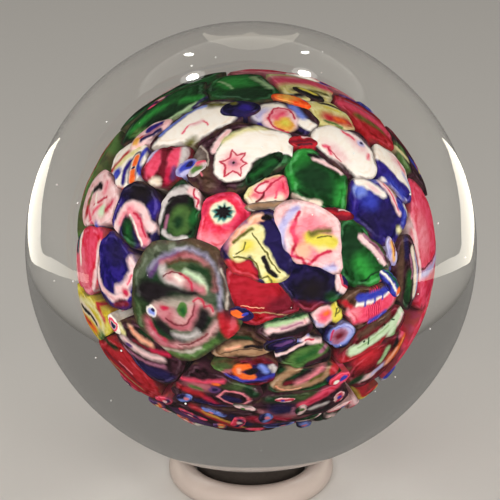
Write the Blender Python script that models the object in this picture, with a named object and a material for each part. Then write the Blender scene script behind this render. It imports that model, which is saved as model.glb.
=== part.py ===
"""Millefiori paperweight: a clear glass ball over scrambled canes, resting in a small display ring.

Metres, +Z up. The front of the ball faces -Y. The ring stands on the plane z = 0.
"""

from math import asin, cos, pi, radians, sin, sqrt

import bmesh
import bpy
import numpy as np

OBJECT_NAME = "millefiori_paperweight"

# Driving sizes
BALL_RADIUS = 0.035            # outside of the clear glass
BASE_FLAT_RADIUS = 0.005       # ground spot under the ball
CLUSTER_RADIUS = 0.0187        # from the cluster centre to the crowns of the canes
CLUSTER_SHIFT = (0.0004, 0.0, -0.0005)   # the cluster sits slightly right of and below the ball centre
CANE_DEPTH = 0.0037            # radial height of a cane at its crown
CANE_EDGE_DROP = 0.0009        # how far a cane rounds down towards its edge
CANE_CLEARANCE = 0.00024       # kept free on each side of a cane
FIT_GAP = 0.0003               # left between touching pieces
RING_OUTER_RADIUS = 0.0134     # outside of the display ring
RING_SECTION_RADIUS = 0.00215  # round section of the ring
RING_FOOT_RADIUS = 0.0012      # half width of the flat under the ring section
SEAT_RISE = 0.0019             # seat insert above the top of the ring
SEAT_LIP = 0.0005              # rounded lip of the seat insert

# Sizes that follow from the driving sizes
FACET_ALLOWANCE = 0.0004
CAVITY_RADIUS = CLUSTER_RADIUS + max(CLUSTER_SHIFT) - min(CLUSTER_SHIFT) + FIT_GAP
CANE_FLOOR_RADIUS = CLUSTER_RADIUS - CANE_DEPTH
CORE_RADIUS = CANE_FLOOR_RADIUS - FIT_GAP - FACET_ALLOWANCE
RING_MEAN_RADIUS = RING_OUTER_RADIUS - RING_SECTION_RADIUS
RING_BORE_RADIUS = RING_MEAN_RADIUS - RING_SECTION_RADIUS
RING_SECTION_HEIGHT = sqrt(RING_SECTION_RADIUS ** 2 - RING_FOOT_RADIUS ** 2)
RING_TOP = RING_SECTION_HEIGHT + RING_SECTION_RADIUS
INSERT_RADIUS = RING_BORE_RADIUS - FIT_GAP
SEAT_RADIUS = INSERT_RADIUS - SEAT_LIP
SEAT_TOP = RING_TOP + SEAT_RISE
DISH_RADIUS = BALL_RADIUS + FIT_GAP
BALL_CENTRE = SEAT_TOP + sqrt(DISH_RADIUS ** 2 - SEAT_RADIUS ** 2)

ROUND_SEGMENTS = 48
ARC_STEPS = 10
CANE_SIDES = 14
CANE_RINGS = ((0.45, 0.12), (0.8, 0.45), (1.0, 1.0))   # share of the width, share of the edge drop
CANE_SPREAD = 1.45             # a cane ends here even where no neighbour stops it

# Canes: name, latitude, longitude, half length, half width, turn (degrees), colour
CANES = (
    ("white_star_cane", 59, -7, 19, 13, 37, (0.95, 0.92, 0.88)),
    ("white_streak_cane", 66, -68, 16, 9, 86, (0.95, 0.93, 0.90)),
    ("white_oval_cane", 51, 66, 14, 12, -66, (0.95, 0.92, 0.90)),
    ("amber_pink_cane", 74, 49, 12, 8, -34, (0.90, 0.70, 0.55)),
    ("green_large_cane", 46, 37, 14, 11, -58, (0.05, 0.30, 0.08)),
    ("pink_scroll_cane", 45, 6, 10, 6, 23, (0.90, 0.60, 0.65)),
    ("blue_large_cane", 28, 62, 15, 11, -46, (0.10, 0.06, 0.45)),
    ("white_blue_cane", 32, 84, 11, 7, -78, (0.80, 0.78, 0.90)),
    ("red_right_cane", 3, 92, 19, 11, -82, (0.80, 0.10, 0.20)),
    ("green_right_cane", 14, 45, 14, 8, -66, (0.05, 0.35, 0.10)),
    ("pink_lobed_cane", 25, 24, 12, 10, -55, (0.90, 0.50, 0.50)),
    ("navy_dark_cane", 9, 20, 11, 8, -34, (0.04, 0.03, 0.10)),
    ("yellow_star_cane", 21, 3, 12, 10, -48, (0.80, 0.75, 0.35)),
    ("red_dome_cane", 5, 2, 14, 10, -20, (0.60, 0.08, 0.12)),
    ("pink_eye_cane", 34, -14, 11, 10, 47, (0.85, 0.20, 0.35)),
    ("green_grey_cane", 33, -34, 10, 9, 89, (0.35, 0.40, 0.32)),
    ("navy_arch_cane", 27, -58, 12, 11, -65, (0.08, 0.05, 0.35)),
    ("navy_low_cane", 6, -61, 11, 10, -63, (0.10, 0.06, 0.40)),
    ("pink_left_cane", 0, -82, 17, 8, 66, (0.85, 0.20, 0.32)),
    ("pink_striped_cane", 21, -83, 9, 11, -67, (0.85, 0.55, 0.55)),
    ("blue_orange_cane", 38, -80, 8, 9, 82, (0.35, 0.30, 0.60)),
    ("crimson_pair_cane", 48, -58, 10, 9, 65, (0.75, 0.12, 0.25)),
    ("green_left_cane", 58, -108, 14, 11, -50, (0.06, 0.35, 0.12)),
    ("green_top_cane", 77, -160, 12, 10, -20, (0.07, 0.35, 0.12)),
    ("pink_top_cane", 66, 140, 11, 10, 46, (0.85, 0.30, 0.40)),
    ("red_yellow_cane", 62, 93, 8, 9, 78, (0.85, 0.55, 0.30)),
    ("red_streak_cane", 46, 114, 12, 10, -87, (0.75, 0.12, 0.18)),
    ("olive_strip_cane", 24, 115, 9, 11, 58, (0.45, 0.45, 0.20)),
    ("swirl_disc_cane", 1, -26, 17, 17, 6, (0.45, 0.40, 0.42)),
    ("striped_scroll_cane", -8, 12, 11, 5, 6, (0.75, 0.60, 0.60)),
    ("pink_bead_cane", -5, 28, 7, 5, -19, (0.90, 0.65, 0.65)),
    ("lavender_bead_cane", -15, 34, 6, 5, -18, (0.60, 0.45, 0.60)),
    ("crimson_fringe_cane", -5, 47, 12, 7, -7, (0.75, 0.12, 0.28)),
    ("mint_cane", -19, 56, 15, 7, 19, (0.75, 0.85, 0.70)),
    ("maroon_right_cane", -31, 60, 10, 9, 20, (0.35, 0.06, 0.12)),
    ("green_bottom_cane", -21, 21, 9, 7, 19, (0.10, 0.32, 0.12)),
    ("beige_loop_cane", -34, 21, 11, 7, -14, (0.70, 0.50, 0.45)),
    ("blue_flower_cane", -28, -2, 10, 6, -7, (0.20, 0.25, 0.60)),
    ("beige_scroll_cane", -16, -6, 9, 6, 9, (0.60, 0.42, 0.30)),
    ("crimson_low_cane", -50, 27, 12, 10, -4, (0.40, 0.06, 0.15)),
    ("violet_low_cane", -40, -20, 13, 9, 2, (0.30, 0.15, 0.35)),
    ("yellow_loop_cane", -20, -84, 9, 11, 75, (0.75, 0.70, 0.30)),
    ("navy_slant_cane", -27, -45, 12, 9, -38, (0.08, 0.06, 0.25)),
    ("red_slant_cane", -38, -74, 11, 12, -77, (0.50, 0.08, 0.15)),
    ("green_strip_cane", -1, 69, 15, 6, 90, (0.08, 0.20, 0.12)),
    ("violet_under_cane", -68, -40, 17, 12, 0, (0.28, 0.10, 0.30)),
    ("cobalt_rear_cane", 45, 165, 17, 14, 20, (0.10, 0.08, 0.50)),
    ("white_rear_cane", 40, -145, 16, 14, -30, (0.92, 0.88, 0.85)),
    ("red_rear_cane", 12, 143, 17, 14, -60, (0.70, 0.10, 0.18)),
    ("green_rear_cane", 12, -178, 17, 15, 10, (0.06, 0.30, 0.12)),
    ("pink_rear_cane", 10, -130, 18, 15, 65, (0.85, 0.40, 0.50)),
    ("amber_rear_cane", -20, 160, 16, 14, 30, (0.80, 0.50, 0.20)),
    ("navy_rear_cane", -22, -152, 17, 14, -20, (0.07, 0.05, 0.30)),
    ("mint_rear_cane", -26, 112, 17, 15, 50, (0.55, 0.70, 0.55)),
    ("crimson_under_cane", -56, 165, 20, 17, 0, (0.50, 0.07, 0.18)),
)


def clear_scene():
    """Remove whatever the scene starts with."""
    for scene_object in list(bpy.data.objects):
        bpy.data.objects.remove(scene_object, do_unlink=True)


def make_material(name, colour, roughness=0.3, transmission=0.0, ior=1.5):
    """A plain Principled material."""
    material = bpy.data.materials.new(name)
    material.use_nodes = True
    shader = material.node_tree.nodes["Principled BSDF"]
    shader.inputs["Base Color"].default_value = (*colour, 1.0)
    shader.inputs["Roughness"].default_value = roughness
    shader.inputs["Transmission Weight"].default_value = transmission
    shader.inputs["IOR"].default_value = ior
    material.diffuse_color = (*colour, 1.0)
    return material


def add_object(name, vertices, faces, material, collection):
    """Make a closed mesh object with outward normals."""
    mesh = bpy.data.meshes.new(name)
    mesh.from_pydata(vertices, [], faces)
    shell = bmesh.new()
    shell.from_mesh(mesh)
    bmesh.ops.recalc_face_normals(shell, faces=shell.faces)
    bmesh.ops.triangulate(shell, faces=shell.faces)
    shell.to_mesh(mesh)
    shell.free()
    mesh.materials.append(material)
    made = bpy.data.objects.new(name, mesh)
    collection.objects.link(made)
    return made


def revolve_solid(profile):
    """Turn a profile that starts and ends on the axis into a closed solid."""
    inner = profile[1:-1]
    vertices = [(0.0, 0.0, profile[0][1])]
    for radius, height in inner:
        for step in range(ROUND_SEGMENTS):
            angle = 2 * pi * step / ROUND_SEGMENTS
            vertices.append((radius * cos(angle), radius * sin(angle), height))
    vertices.append((0.0, 0.0, profile[-1][1]))
    last = len(vertices) - 1
    faces = []
    for step in range(ROUND_SEGMENTS):
        following = (step + 1) % ROUND_SEGMENTS
        faces.append((0, 1 + step, 1 + following))
        for row in range(len(inner) - 1):
            near = 1 + row * ROUND_SEGMENTS
            far = near + ROUND_SEGMENTS
            faces.append((near + step, far + step, far + following, near + following))
        bottom = 1 + (len(inner) - 1) * ROUND_SEGMENTS
        faces.append((bottom + step, last, bottom + following))
    return vertices, faces


def revolve_ring(profile):
    """Turn a closed profile that stays off the axis into a ring."""
    count = len(profile)
    vertices = []
    for step in range(ROUND_SEGMENTS):
        angle = 2 * pi * step / ROUND_SEGMENTS
        for radius, height in profile:
            vertices.append((radius * cos(angle), radius * sin(angle), height))
    faces = []
    for step in range(ROUND_SEGMENTS):
        near = step * count
        far = ((step + 1) % ROUND_SEGMENTS) * count
        for point in range(count):
            following = (point + 1) % count
            faces.append((near + point, far + point, far + following, near + following))
    return vertices, faces


def arc(radius, centre_height, start, end, steps):
    """Profile points on a circle about the axis; angles in radians above the horizontal."""
    points = []
    for step in range(steps + 1):
        angle = start + (end - start) * step / steps
        points.append((radius * cos(angle), centre_height + radius * sin(angle)))
    return points


def crown_profile():
    """Upper half of the encasing glass, hollow for the cluster."""
    parting = FIT_GAP / 2
    outer = arc(BALL_RADIUS, BALL_CENTRE, pi / 2, asin(parting / BALL_RADIUS), ARC_STEPS)
    hollow = arc(CAVITY_RADIUS, BALL_CENTRE, asin(parting / CAVITY_RADIUS), pi / 2, ARC_STEPS)
    return outer + hollow


def base_profile():
    """Lower half of the encasing glass, with the ground flat."""
    parting = FIT_GAP / 2
    flat_angle = -asin(sqrt(BALL_RADIUS ** 2 - BASE_FLAT_RADIUS ** 2) / BALL_RADIUS)
    outer = arc(BALL_RADIUS, BALL_CENTRE, flat_angle, -asin(parting / BALL_RADIUS), ARC_STEPS)
    hollow = arc(CAVITY_RADIUS, BALL_CENTRE, -asin(parting / CAVITY_RADIUS), -pi / 2, ARC_STEPS)
    return [(0.0, outer[0][1])] + outer + hollow


def core_profile():
    """Coloured core that carries the canes."""
    centre_height = BALL_CENTRE + CLUSTER_SHIFT[2]
    return arc(CORE_RADIUS, centre_height, pi / 2, -pi / 2, 2 * ARC_STEPS - 6)


def ring_profile():
    """Round section with a flat foot."""
    foot_angle = asin(RING_FOOT_RADIUS / RING_SECTION_RADIUS)
    start = -pi / 2 + foot_angle
    end = 3 * pi / 2 - foot_angle
    points = []
    for step in range(ARC_STEPS + 1):
        angle = start + (end - start) * step / ARC_STEPS
        radius = RING_MEAN_RADIUS + RING_SECTION_RADIUS * cos(angle)
        points.append((radius, RING_SECTION_HEIGHT + RING_SECTION_RADIUS * sin(angle)))
    return points


def insert_profile():
    """Soft seat: upright wall, rounded lip and a dish that follows the ball."""
    lip_angle = -asin(sqrt(DISH_RADIUS ** 2 - SEAT_RADIUS ** 2) / DISH_RADIUS)
    dish = arc(DISH_RADIUS, BALL_CENTRE, -pi / 2, lip_angle, 5)
    lip = []
    for step in range(4):
        angle = pi / 2 - step * pi / 6
        lip.append((SEAT_RADIUS + SEAT_LIP * cos(angle), SEAT_TOP - SEAT_LIP * (1 - sin(angle))))
    lip_above_dish = lip[1:]
    foot = [(INSERT_RADIUS, SEAT_LIP), (INSERT_RADIUS - SEAT_LIP, 0.0), (0.0, 0.0)]
    return [(0.0, dish[0][1])] + dish[1:] + lip_above_dish + foot


def cane_frames():
    """Centre, long axis and cross axis of every cane as unit vectors, and its two half sizes."""
    centres, longs, crosses, halves = [], [], [], []
    for _, latitude, longitude, half_length, half_width, turn, _ in CANES:
        north_angle, east_angle, twist = radians(latitude), radians(longitude), radians(turn)
        centre = np.array((cos(north_angle) * sin(east_angle),
                           -cos(north_angle) * cos(east_angle),
                           sin(north_angle)))
        east = np.array((cos(east_angle), sin(east_angle), 0.0))
        north = np.cross(centre, east)
        long_axis = east * cos(twist) + north * sin(twist)
        centres.append(centre)
        longs.append(long_axis)
        crosses.append(np.cross(centre, long_axis))
        halves.append((radians(half_length), radians(half_width)))
    return np.array(centres), np.array(longs), np.array(crosses), np.array(halves)


def cane_reach(directions, frames):
    """How far each direction is from each cane, in cane sizes, and how fast that grows."""
    centres, longs, crosses, halves = frames
    along_centre = np.clip(directions @ centres.T, -1.0, 1.0)
    angle = np.arccos(along_centre)
    flat = np.maximum(np.sqrt(1.0 - along_centre ** 2), 1e-9)
    along = angle * (directions @ longs.T) / flat
    across = angle * (directions @ crosses.T) / flat
    reach = np.maximum(np.hypot(along / halves[:, 0], across / halves[:, 1]), 1e-6)
    growth = np.hypot(along / halves[:, 0] ** 2, across / halves[:, 1] ** 2) / reach
    return reach, growth


def inside_cane(index, directions, frames):
    """True where a direction belongs to this cane with the clearance kept on every side."""
    reach, growth = cane_reach(directions, frames)
    own_reach = reach[:, index]
    clearance = CANE_CLEARANCE / CANE_FLOOR_RADIUS
    spare = reach - own_reach[:, None] - clearance * (growth + growth[:, [index]])
    spare[:, index] = 1.0
    return (spare.min(axis=1) > 0.0) & (own_reach < CANE_SPREAD)


def leaning(centre, sideways, angle):
    """The direction found by leaning from the centre by an angle."""
    return centre * cos(angle) + sideways * sin(angle)


def cane_outline(index, frames):
    """Sideways directions round a cane and the angle at which the cane ends along each."""
    centres, longs, crosses, halves = frames
    centre = centres[index]
    steps = np.radians(np.arange(0.5, 45.0, 0.25))
    sides, angles = [], []
    for side in range(CANE_SIDES):
        phase = 2 * pi * side / CANE_SIDES
        sideways = longs[index] * halves[index, 0] * cos(phase) + crosses[index] * halves[index, 1] * sin(phase)
        sideways = sideways / np.linalg.norm(sideways)
        ray = np.array([leaning(centre, sideways, step) for step in steps])
        inside = inside_cane(index, ray, frames)
        first_outside = int(np.argmin(inside))
        sides.append(sideways)
        angles.append(steps[max(first_outside - 1, 0)])
    return sides, pull_in_chords(index, sides, angles, frames)


def pull_in_chords(index, sides, angles, frames):
    """Shorten neighbouring rays until the straight edge between them stays in the cane's own cell."""
    centre = frames[0][index]
    angles = list(angles)
    for _ in range(40):
        moved = False
        for side in range(CANE_SIDES):
            following = (side + 1) % CANE_SIDES
            start = leaning(centre, sides[side], angles[side])
            end = leaning(centre, sides[following], angles[following])
            chord = np.array([start + (end - start) * share for share in (0.25, 0.5, 0.75)])
            chord = chord / np.linalg.norm(chord, axis=1)[:, None]
            if not inside_cane(index, chord, frames).all():
                longer = side if angles[side] > angles[following] else following
                angles[longer] *= 0.96
                moved = True
        if not moved:
            break
    return angles


def cane_mesh(index, frames):
    """Pillow-shaped piece standing on the core: domed crown, rounded edge, upright sides."""
    centre = frames[0][index]
    sides, angles = cane_outline(index, frames)
    origin = np.array((0.0, 0.0, BALL_CENTRE)) + np.array(CLUSTER_SHIFT)
    vertices = [origin + centre * CLUSTER_RADIUS]
    for width_share, drop_share in CANE_RINGS:
        radius = CLUSTER_RADIUS - CANE_EDGE_DROP * drop_share
        for sideways, angle in zip(sides, angles):
            vertices.append(origin + leaning(centre, sideways, angle * width_share) * radius)
    for sideways, angle in zip(sides, angles):
        vertices.append(origin + leaning(centre, sideways, angle) * CANE_FLOOR_RADIUS)
    vertices.append(origin + centre * CANE_FLOOR_RADIUS)
    faces = []
    bottom = len(CANE_RINGS) * CANE_SIDES + 1
    last = len(vertices) - 1
    for side in range(CANE_SIDES):
        following = (side + 1) % CANE_SIDES
        faces.append((0, 1 + side, 1 + following))
        for row in range(len(CANE_RINGS)):
            near = 1 + row * CANE_SIDES
            far = near + CANE_SIDES
            faces.append((near + side, far + side, far + following, near + following))
        faces.append((bottom + side, last, bottom + following))
    return [tuple(vertex) for vertex in vertices], faces


def build_glass(collection):
    """The two halves of the encasing glass and the core inside."""
    clear = ((0.96, 0.97, 0.95), 0.02, 1.0)
    crown_vertices, crown_faces = revolve_solid(crown_profile())
    add_object("crown_glass", crown_vertices, crown_faces, make_material("crown_glass", *clear), collection)
    base_vertices, base_faces = revolve_solid(base_profile())
    add_object("base_glass", base_vertices, base_faces, make_material("base_glass", *clear), collection)
    core_vertices, core_faces = revolve_solid(core_profile())
    core = add_object("core_glass", core_vertices, core_faces,
                      make_material("core_glass", (0.16, 0.05, 0.08)), collection)
    core.location.x = CLUSTER_SHIFT[0]


def build_canes(collection):
    """Every cane of the cluster."""
    frames = cane_frames()
    for index, cane in enumerate(CANES):
        vertices, faces = cane_mesh(index, frames)
        add_object(cane[0], vertices, faces, make_material(cane[0], cane[6]), collection)


def build_stand(collection):
    """The display ring and the seat insert inside it."""
    ring_vertices, ring_faces = revolve_ring(ring_profile())
    add_object("display_ring", ring_vertices, ring_faces,
               make_material("display_ring", (0.80, 0.76, 0.70), 0.35), collection)
    insert_vertices, insert_faces = revolve_solid(insert_profile())
    add_object("seat_insert", insert_vertices, insert_faces,
               make_material("seat_insert", (0.02, 0.02, 0.02), 0.7), collection)


def main():
    clear_scene()
    collection = bpy.data.collections.new(OBJECT_NAME)
    bpy.context.scene.collection.children.link(collection)
    build_stand(collection)
    build_glass(collection)
    build_canes(collection)


main()
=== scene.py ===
"""Looks of the millefiori paperweight: a clear glass ball with patterned canes, its ring and seat."""

from math import atan2, cos, pi, radians, sin, sqrt

import bmesh
import bpy
from mathutils import Matrix, Vector, noise


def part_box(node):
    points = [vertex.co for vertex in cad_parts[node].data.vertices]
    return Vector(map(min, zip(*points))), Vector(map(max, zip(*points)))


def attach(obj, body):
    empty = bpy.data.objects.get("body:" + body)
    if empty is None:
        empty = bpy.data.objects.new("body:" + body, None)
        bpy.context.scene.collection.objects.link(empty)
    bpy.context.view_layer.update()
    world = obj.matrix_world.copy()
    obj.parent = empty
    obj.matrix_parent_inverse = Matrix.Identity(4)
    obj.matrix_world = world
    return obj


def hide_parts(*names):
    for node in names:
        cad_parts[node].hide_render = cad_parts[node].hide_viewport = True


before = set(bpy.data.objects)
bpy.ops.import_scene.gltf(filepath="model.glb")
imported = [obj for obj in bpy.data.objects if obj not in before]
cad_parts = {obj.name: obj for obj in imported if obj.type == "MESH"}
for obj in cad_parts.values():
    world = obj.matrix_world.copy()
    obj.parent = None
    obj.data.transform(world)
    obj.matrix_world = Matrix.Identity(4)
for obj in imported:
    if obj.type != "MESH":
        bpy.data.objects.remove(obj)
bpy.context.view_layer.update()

MM = 0.001

# Sizes read from the CAD solids
ball_low, ball_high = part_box("crown_glass")
BALL_RADIUS = (ball_high.x - ball_low.x) / 2
BALL_CENTRE = Vector((0.0, 0.0, ball_high.z - BALL_RADIUS))
BASE_FLAT_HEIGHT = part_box("base_glass")[0].z
core_low, core_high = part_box("core_glass")
CLUSTER_CENTRE = (core_low + core_high) / 2
CORE_RADIUS = (core_high.z - core_low.z) / 2

# Camera
CAMERA_DISTANCE = 0.30          # from the middle of the ball
CAMERA_LENS = 138.5             # mm, on a sensor 36 mm wide
CAMERA_SHIFT = (-0.002, -0.006)
CAMERA_ELEVATION = radians(22)
CAMERA_SIDE = Vector((0.0, -cos(CAMERA_ELEVATION), sin(CAMERA_ELEVATION)))   # from the ball to the camera

# Canes and chips of cane
CANE_MARGIN = 0.24 * MM         # a cane reaches this far over its neighbour's edge
CANE_EDGE_DROP = 0.15 * MM      # the crown rounds down this far towards the edge
CANE_RELIEF = 0.08 * MM         # gentle unevenness of a crown
CANE_WANDER = 0.45 * MM         # how far the outline strays
LIFT_STEP = 0.05 * MM           # canes stand at five slightly different heights
CHIP_LIFT = 0.36 * MM           # a chip stands this far above the canes around it
SCATTERED_LIFT = 0.24 * MM
CHIP_EDGE_DROP = 0.25 * MM
CHIP_WANDER = 0.16 * MM
SCATTER_COUNT = 44
SCATTER_TURN = 137.5            # degrees from one scattered chip to the next
OUTLINE_POINTS = 44
CHIP_POINTS = 16
DOME_RINGS = 9
SIDE_RINGS = ((0.995, 0.7), (0.97, 0.35), (0.94, 0.0))   # share of the width, share of the height
OUTLINE_WAVES = 2.4             # how quickly the outline strays with direction
RELIEF_WAVES = 11.0             # how quickly a crown's height varies with direction
FLOOR_BAND = 0.2 * MM           # a cane's lowest points lie within this height

# Canes that spread over their neighbours: extra reach, extra height
SPREADING = {
    "swirl_disc_cane": (0.7 * MM, 0.35 * MM), "yellow_star_cane": (0.9 * MM, 0.3 * MM),
    "white_star_cane": (0.2 * MM, 0.25 * MM), "pink_lobed_cane": (0.5 * MM, 0.6 * MM),
    "navy_dark_cane": (0.6 * MM, 0.2 * MM), "red_dome_cane": (0.3 * MM, 0.1 * MM),
}

# Patterns in the glass, in millimetres of a cane's own frame
FLOWS = ((0.35, 0.7), (1.1, 0.45), (3.2, 0.12))          # scale of the noise, how far it moves the pattern
PATH_SPREAD = 1.6               # how wide the soft edge of a path is
MARK_HEIGHT = 1000.0            # marks reach right through a cane
# Lines along a cane's edge: share of the way out, width, scale and threshold of the noise that breaks
# them up, strength, gamma
EDGE_LINES = ((0.87, 0.035, 0.50, 0.50, 0.55, 0.55), (0.77, 0.030, 0.42, 0.47, 0.60, 1.9))

# Core, ball, ring and seat
GLASS_INDEX = 1.5
BALL_STEPS = 96
CORE_STEPS = 40
RING_STEPS = 30
DISH_STEPS = 12
LIP_STEPS = 6
CORE_SWELL = 1.06               # the core fills the gaps under the canes
RING_SECTION_RADIUS = 2.15 * MM
SEAT_LIP = 0.5 * MM
SEAT_GAP = 0.1 * MM             # between the dish and the ball

# Seed bubbles just outside the cluster
BUBBLE_COUNT = 44
BUBBLE_TURN = 2.39996           # radians from one bubble to the next

# Floor, world and lights
FLOOR_SIDE = 6.0
WORLD_COLOUR = (0.82, 0.78, 0.72, 1.0)
WORLD_STRENGTH = 0.23
WARM_WHITE = (1.0, 0.98, 0.92)
HIGHLIGHT_DISTANCE = 1.2
REFLECTOR_DISTANCE = 0.07

# Soft boxes: name, place, size, power, colour
SOFT_BOXES = (
    ("key_box", (-0.05, -1.05, 0.55), (0.7, 0.6), 10.6, (1.0, 0.98, 0.95)),
    ("right_box", (0.98, -0.60, 0.20), (0.5, 0.4), 8.8, (1.0, 0.98, 0.96)),
    ("left_box", (-0.98, -0.60, 0.20), (0.5, 0.4), 7.8, (1.0, 0.98, 0.96)),
)
# Highlights on the ball: name, latitude, longitude, lamp size, power
HIGHLIGHTS = (
    ("left_spot", 64.1, -33.4, (0.085, 0.095), 1.5), ("right_spot", 65.6, 32.1, (0.085, 0.095), 1.5),
    ("left_glow", 64.1, -33.4, (0.17, 0.18), 0.20), ("right_glow", 65.6, 32.1, (0.17, 0.18), 0.20),
    ("left_far_spot", 71.1, -53.1, (0.040, 0.10), 0.14),
    ("right_far_spot", 72.7, 49.2, (0.036, 0.09), 0.10),
)
# Outer and inner edge of what each reflector covers on the ball, as (latitude, longitude)
SIDE_CLOTH = (((34, 81), (34, 80)), ((27, 87), (31, 79)), ((21, 88), (27, 75)), ((14, 84), (20, 70)),
              ((9, 78), (14, 66)), ((6, 74), (10.5, 64.5)), ((4, 70), (9, 62)), ((5, 64), (9.5, 58)),
              ((6, 57), (9.7, 54)), ((7, 49), (9.5, 48)), ((8, 42), (10, 42)))
TOP_PANEL = (((88, 0), (77, 0)), ((82, 60), (77.2, 10)), ((79.5, 85), (77.6, 24)), ((78.5, 98), (78, 90)))
REFLECTORS = (("side_cloth", SIDE_CLOTH, 3.2), ("top_panel", TOP_PANEL, 0.9))   # name, rows, strength

COLOURS = {
    "white": (248, 240, 230), "ivory": (236, 220, 200), "pale_grey": (206, 198, 196),
    "grey": (128, 118, 112), "tan": (168, 132, 100), "brown": (92, 66, 52), "black": (26, 20, 24),
    "plum": (62, 30, 42), "blush": (240, 205, 205), "pink": (236, 138, 152), "rose": (232, 80, 112),
    "crimson": (196, 34, 72), "red": (186, 36, 48), "maroon": (112, 22, 38), "peach": (240, 178, 148),
    "orange": (240, 112, 44), "amber": (232, 172, 78), "yellow": (222, 206, 82), "cream": (228, 220, 162),
    "olive": (104, 100, 40), "mint": (206, 226, 192), "pale_green": (164, 196, 146), "green": (26, 88, 38),
    "bright_green": (48, 150, 60), "dark_green": (20, 54, 28), "leaf": (86, 122, 60),
    "teal": (62, 124, 122), "navy": (32, 24, 74), "cobalt": (42, 28, 124), "blue": (56, 66, 176),
    "sky": (122, 142, 220), "lavender": (190, 184, 222), "violet": (98, 62, 118), "mauve": (164, 104, 130),
    "slate": (158, 152, 176), "ash": (186, 172, 160), "dusty_pink": (206, 156, 156),
    "old_rose": (192, 108, 120), "moss": (64, 84, 46), "sage": (112, 118, 98), "brick": (172, 30, 46),
}


def linear(name):
    """A named colour as linear light."""
    channels = []
    for value in COLOURS[name]:
        share = value / 255
        channels.append(share / 12.92 if share <= 0.04045 else ((share + 0.055) / 1.055) ** 2.4)
    return (*channels, 1.0)


# ---------------------------------------------------------------- marks drawn inside a cane
# Places, radii and widths are in tenths of a millimetre, from the middle of the cane: x to the right, y up.
# Turns are in degrees. A soft edge fades over that share of the radius or width.

def mm(tenths):
    """Tenths of a millimetre as millimetres."""
    return round(tenths / 10, 9)


def blob(kind, x, y, rx, ry, colour, turn, edge, lobes, depth):
    """A mark that fills or outlines an oval; lobes and depth give it petals or points."""
    return {"kind": kind, "place": (mm(x), mm(y)), "size": (mm(rx), mm(ry)), "colour": colour, "turn": turn,
            "Edge": edge, "Lobes": lobes, "Depth": depth}


def spot(x, y, rx, ry, colour, soft=0.12, turn=0, lobes=0, depth=0):
    """A filled blob."""
    return blob("spot", x, y, rx, ry, colour, turn, soft, lobes, depth)


def line(x, y, rx, ry, colour, width=0.1, turn=0, lobes=0, depth=0):
    """The outline of a blob; width is a share of its radius."""
    return blob("line", x, y, rx, ry, colour, turn, width, lobes, depth)


def bars(x, y, rx, ry, colour, count=4, turn=0, soft=0.15):
    """Parallel stripes kept inside a blob."""
    return blob("bars", x, y, rx, ry, colour, turn, soft, count, 0)


def path(points, width, colour, soft=0.3):
    """A curve through points; width is its half width, and fat curves fill areas."""
    points = [(mm(x), mm(y)) for x, y in points]
    return {"kind": "path", "points": points, "width": mm(width), "colour": colour, "soft": soft}


def casing(share, width, colour):
    """A band that follows the edge of the cane; share 1 is the edge itself, and width is a share too."""
    return {"kind": "casing", "share": share, "width": width, "colour": colour}


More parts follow.
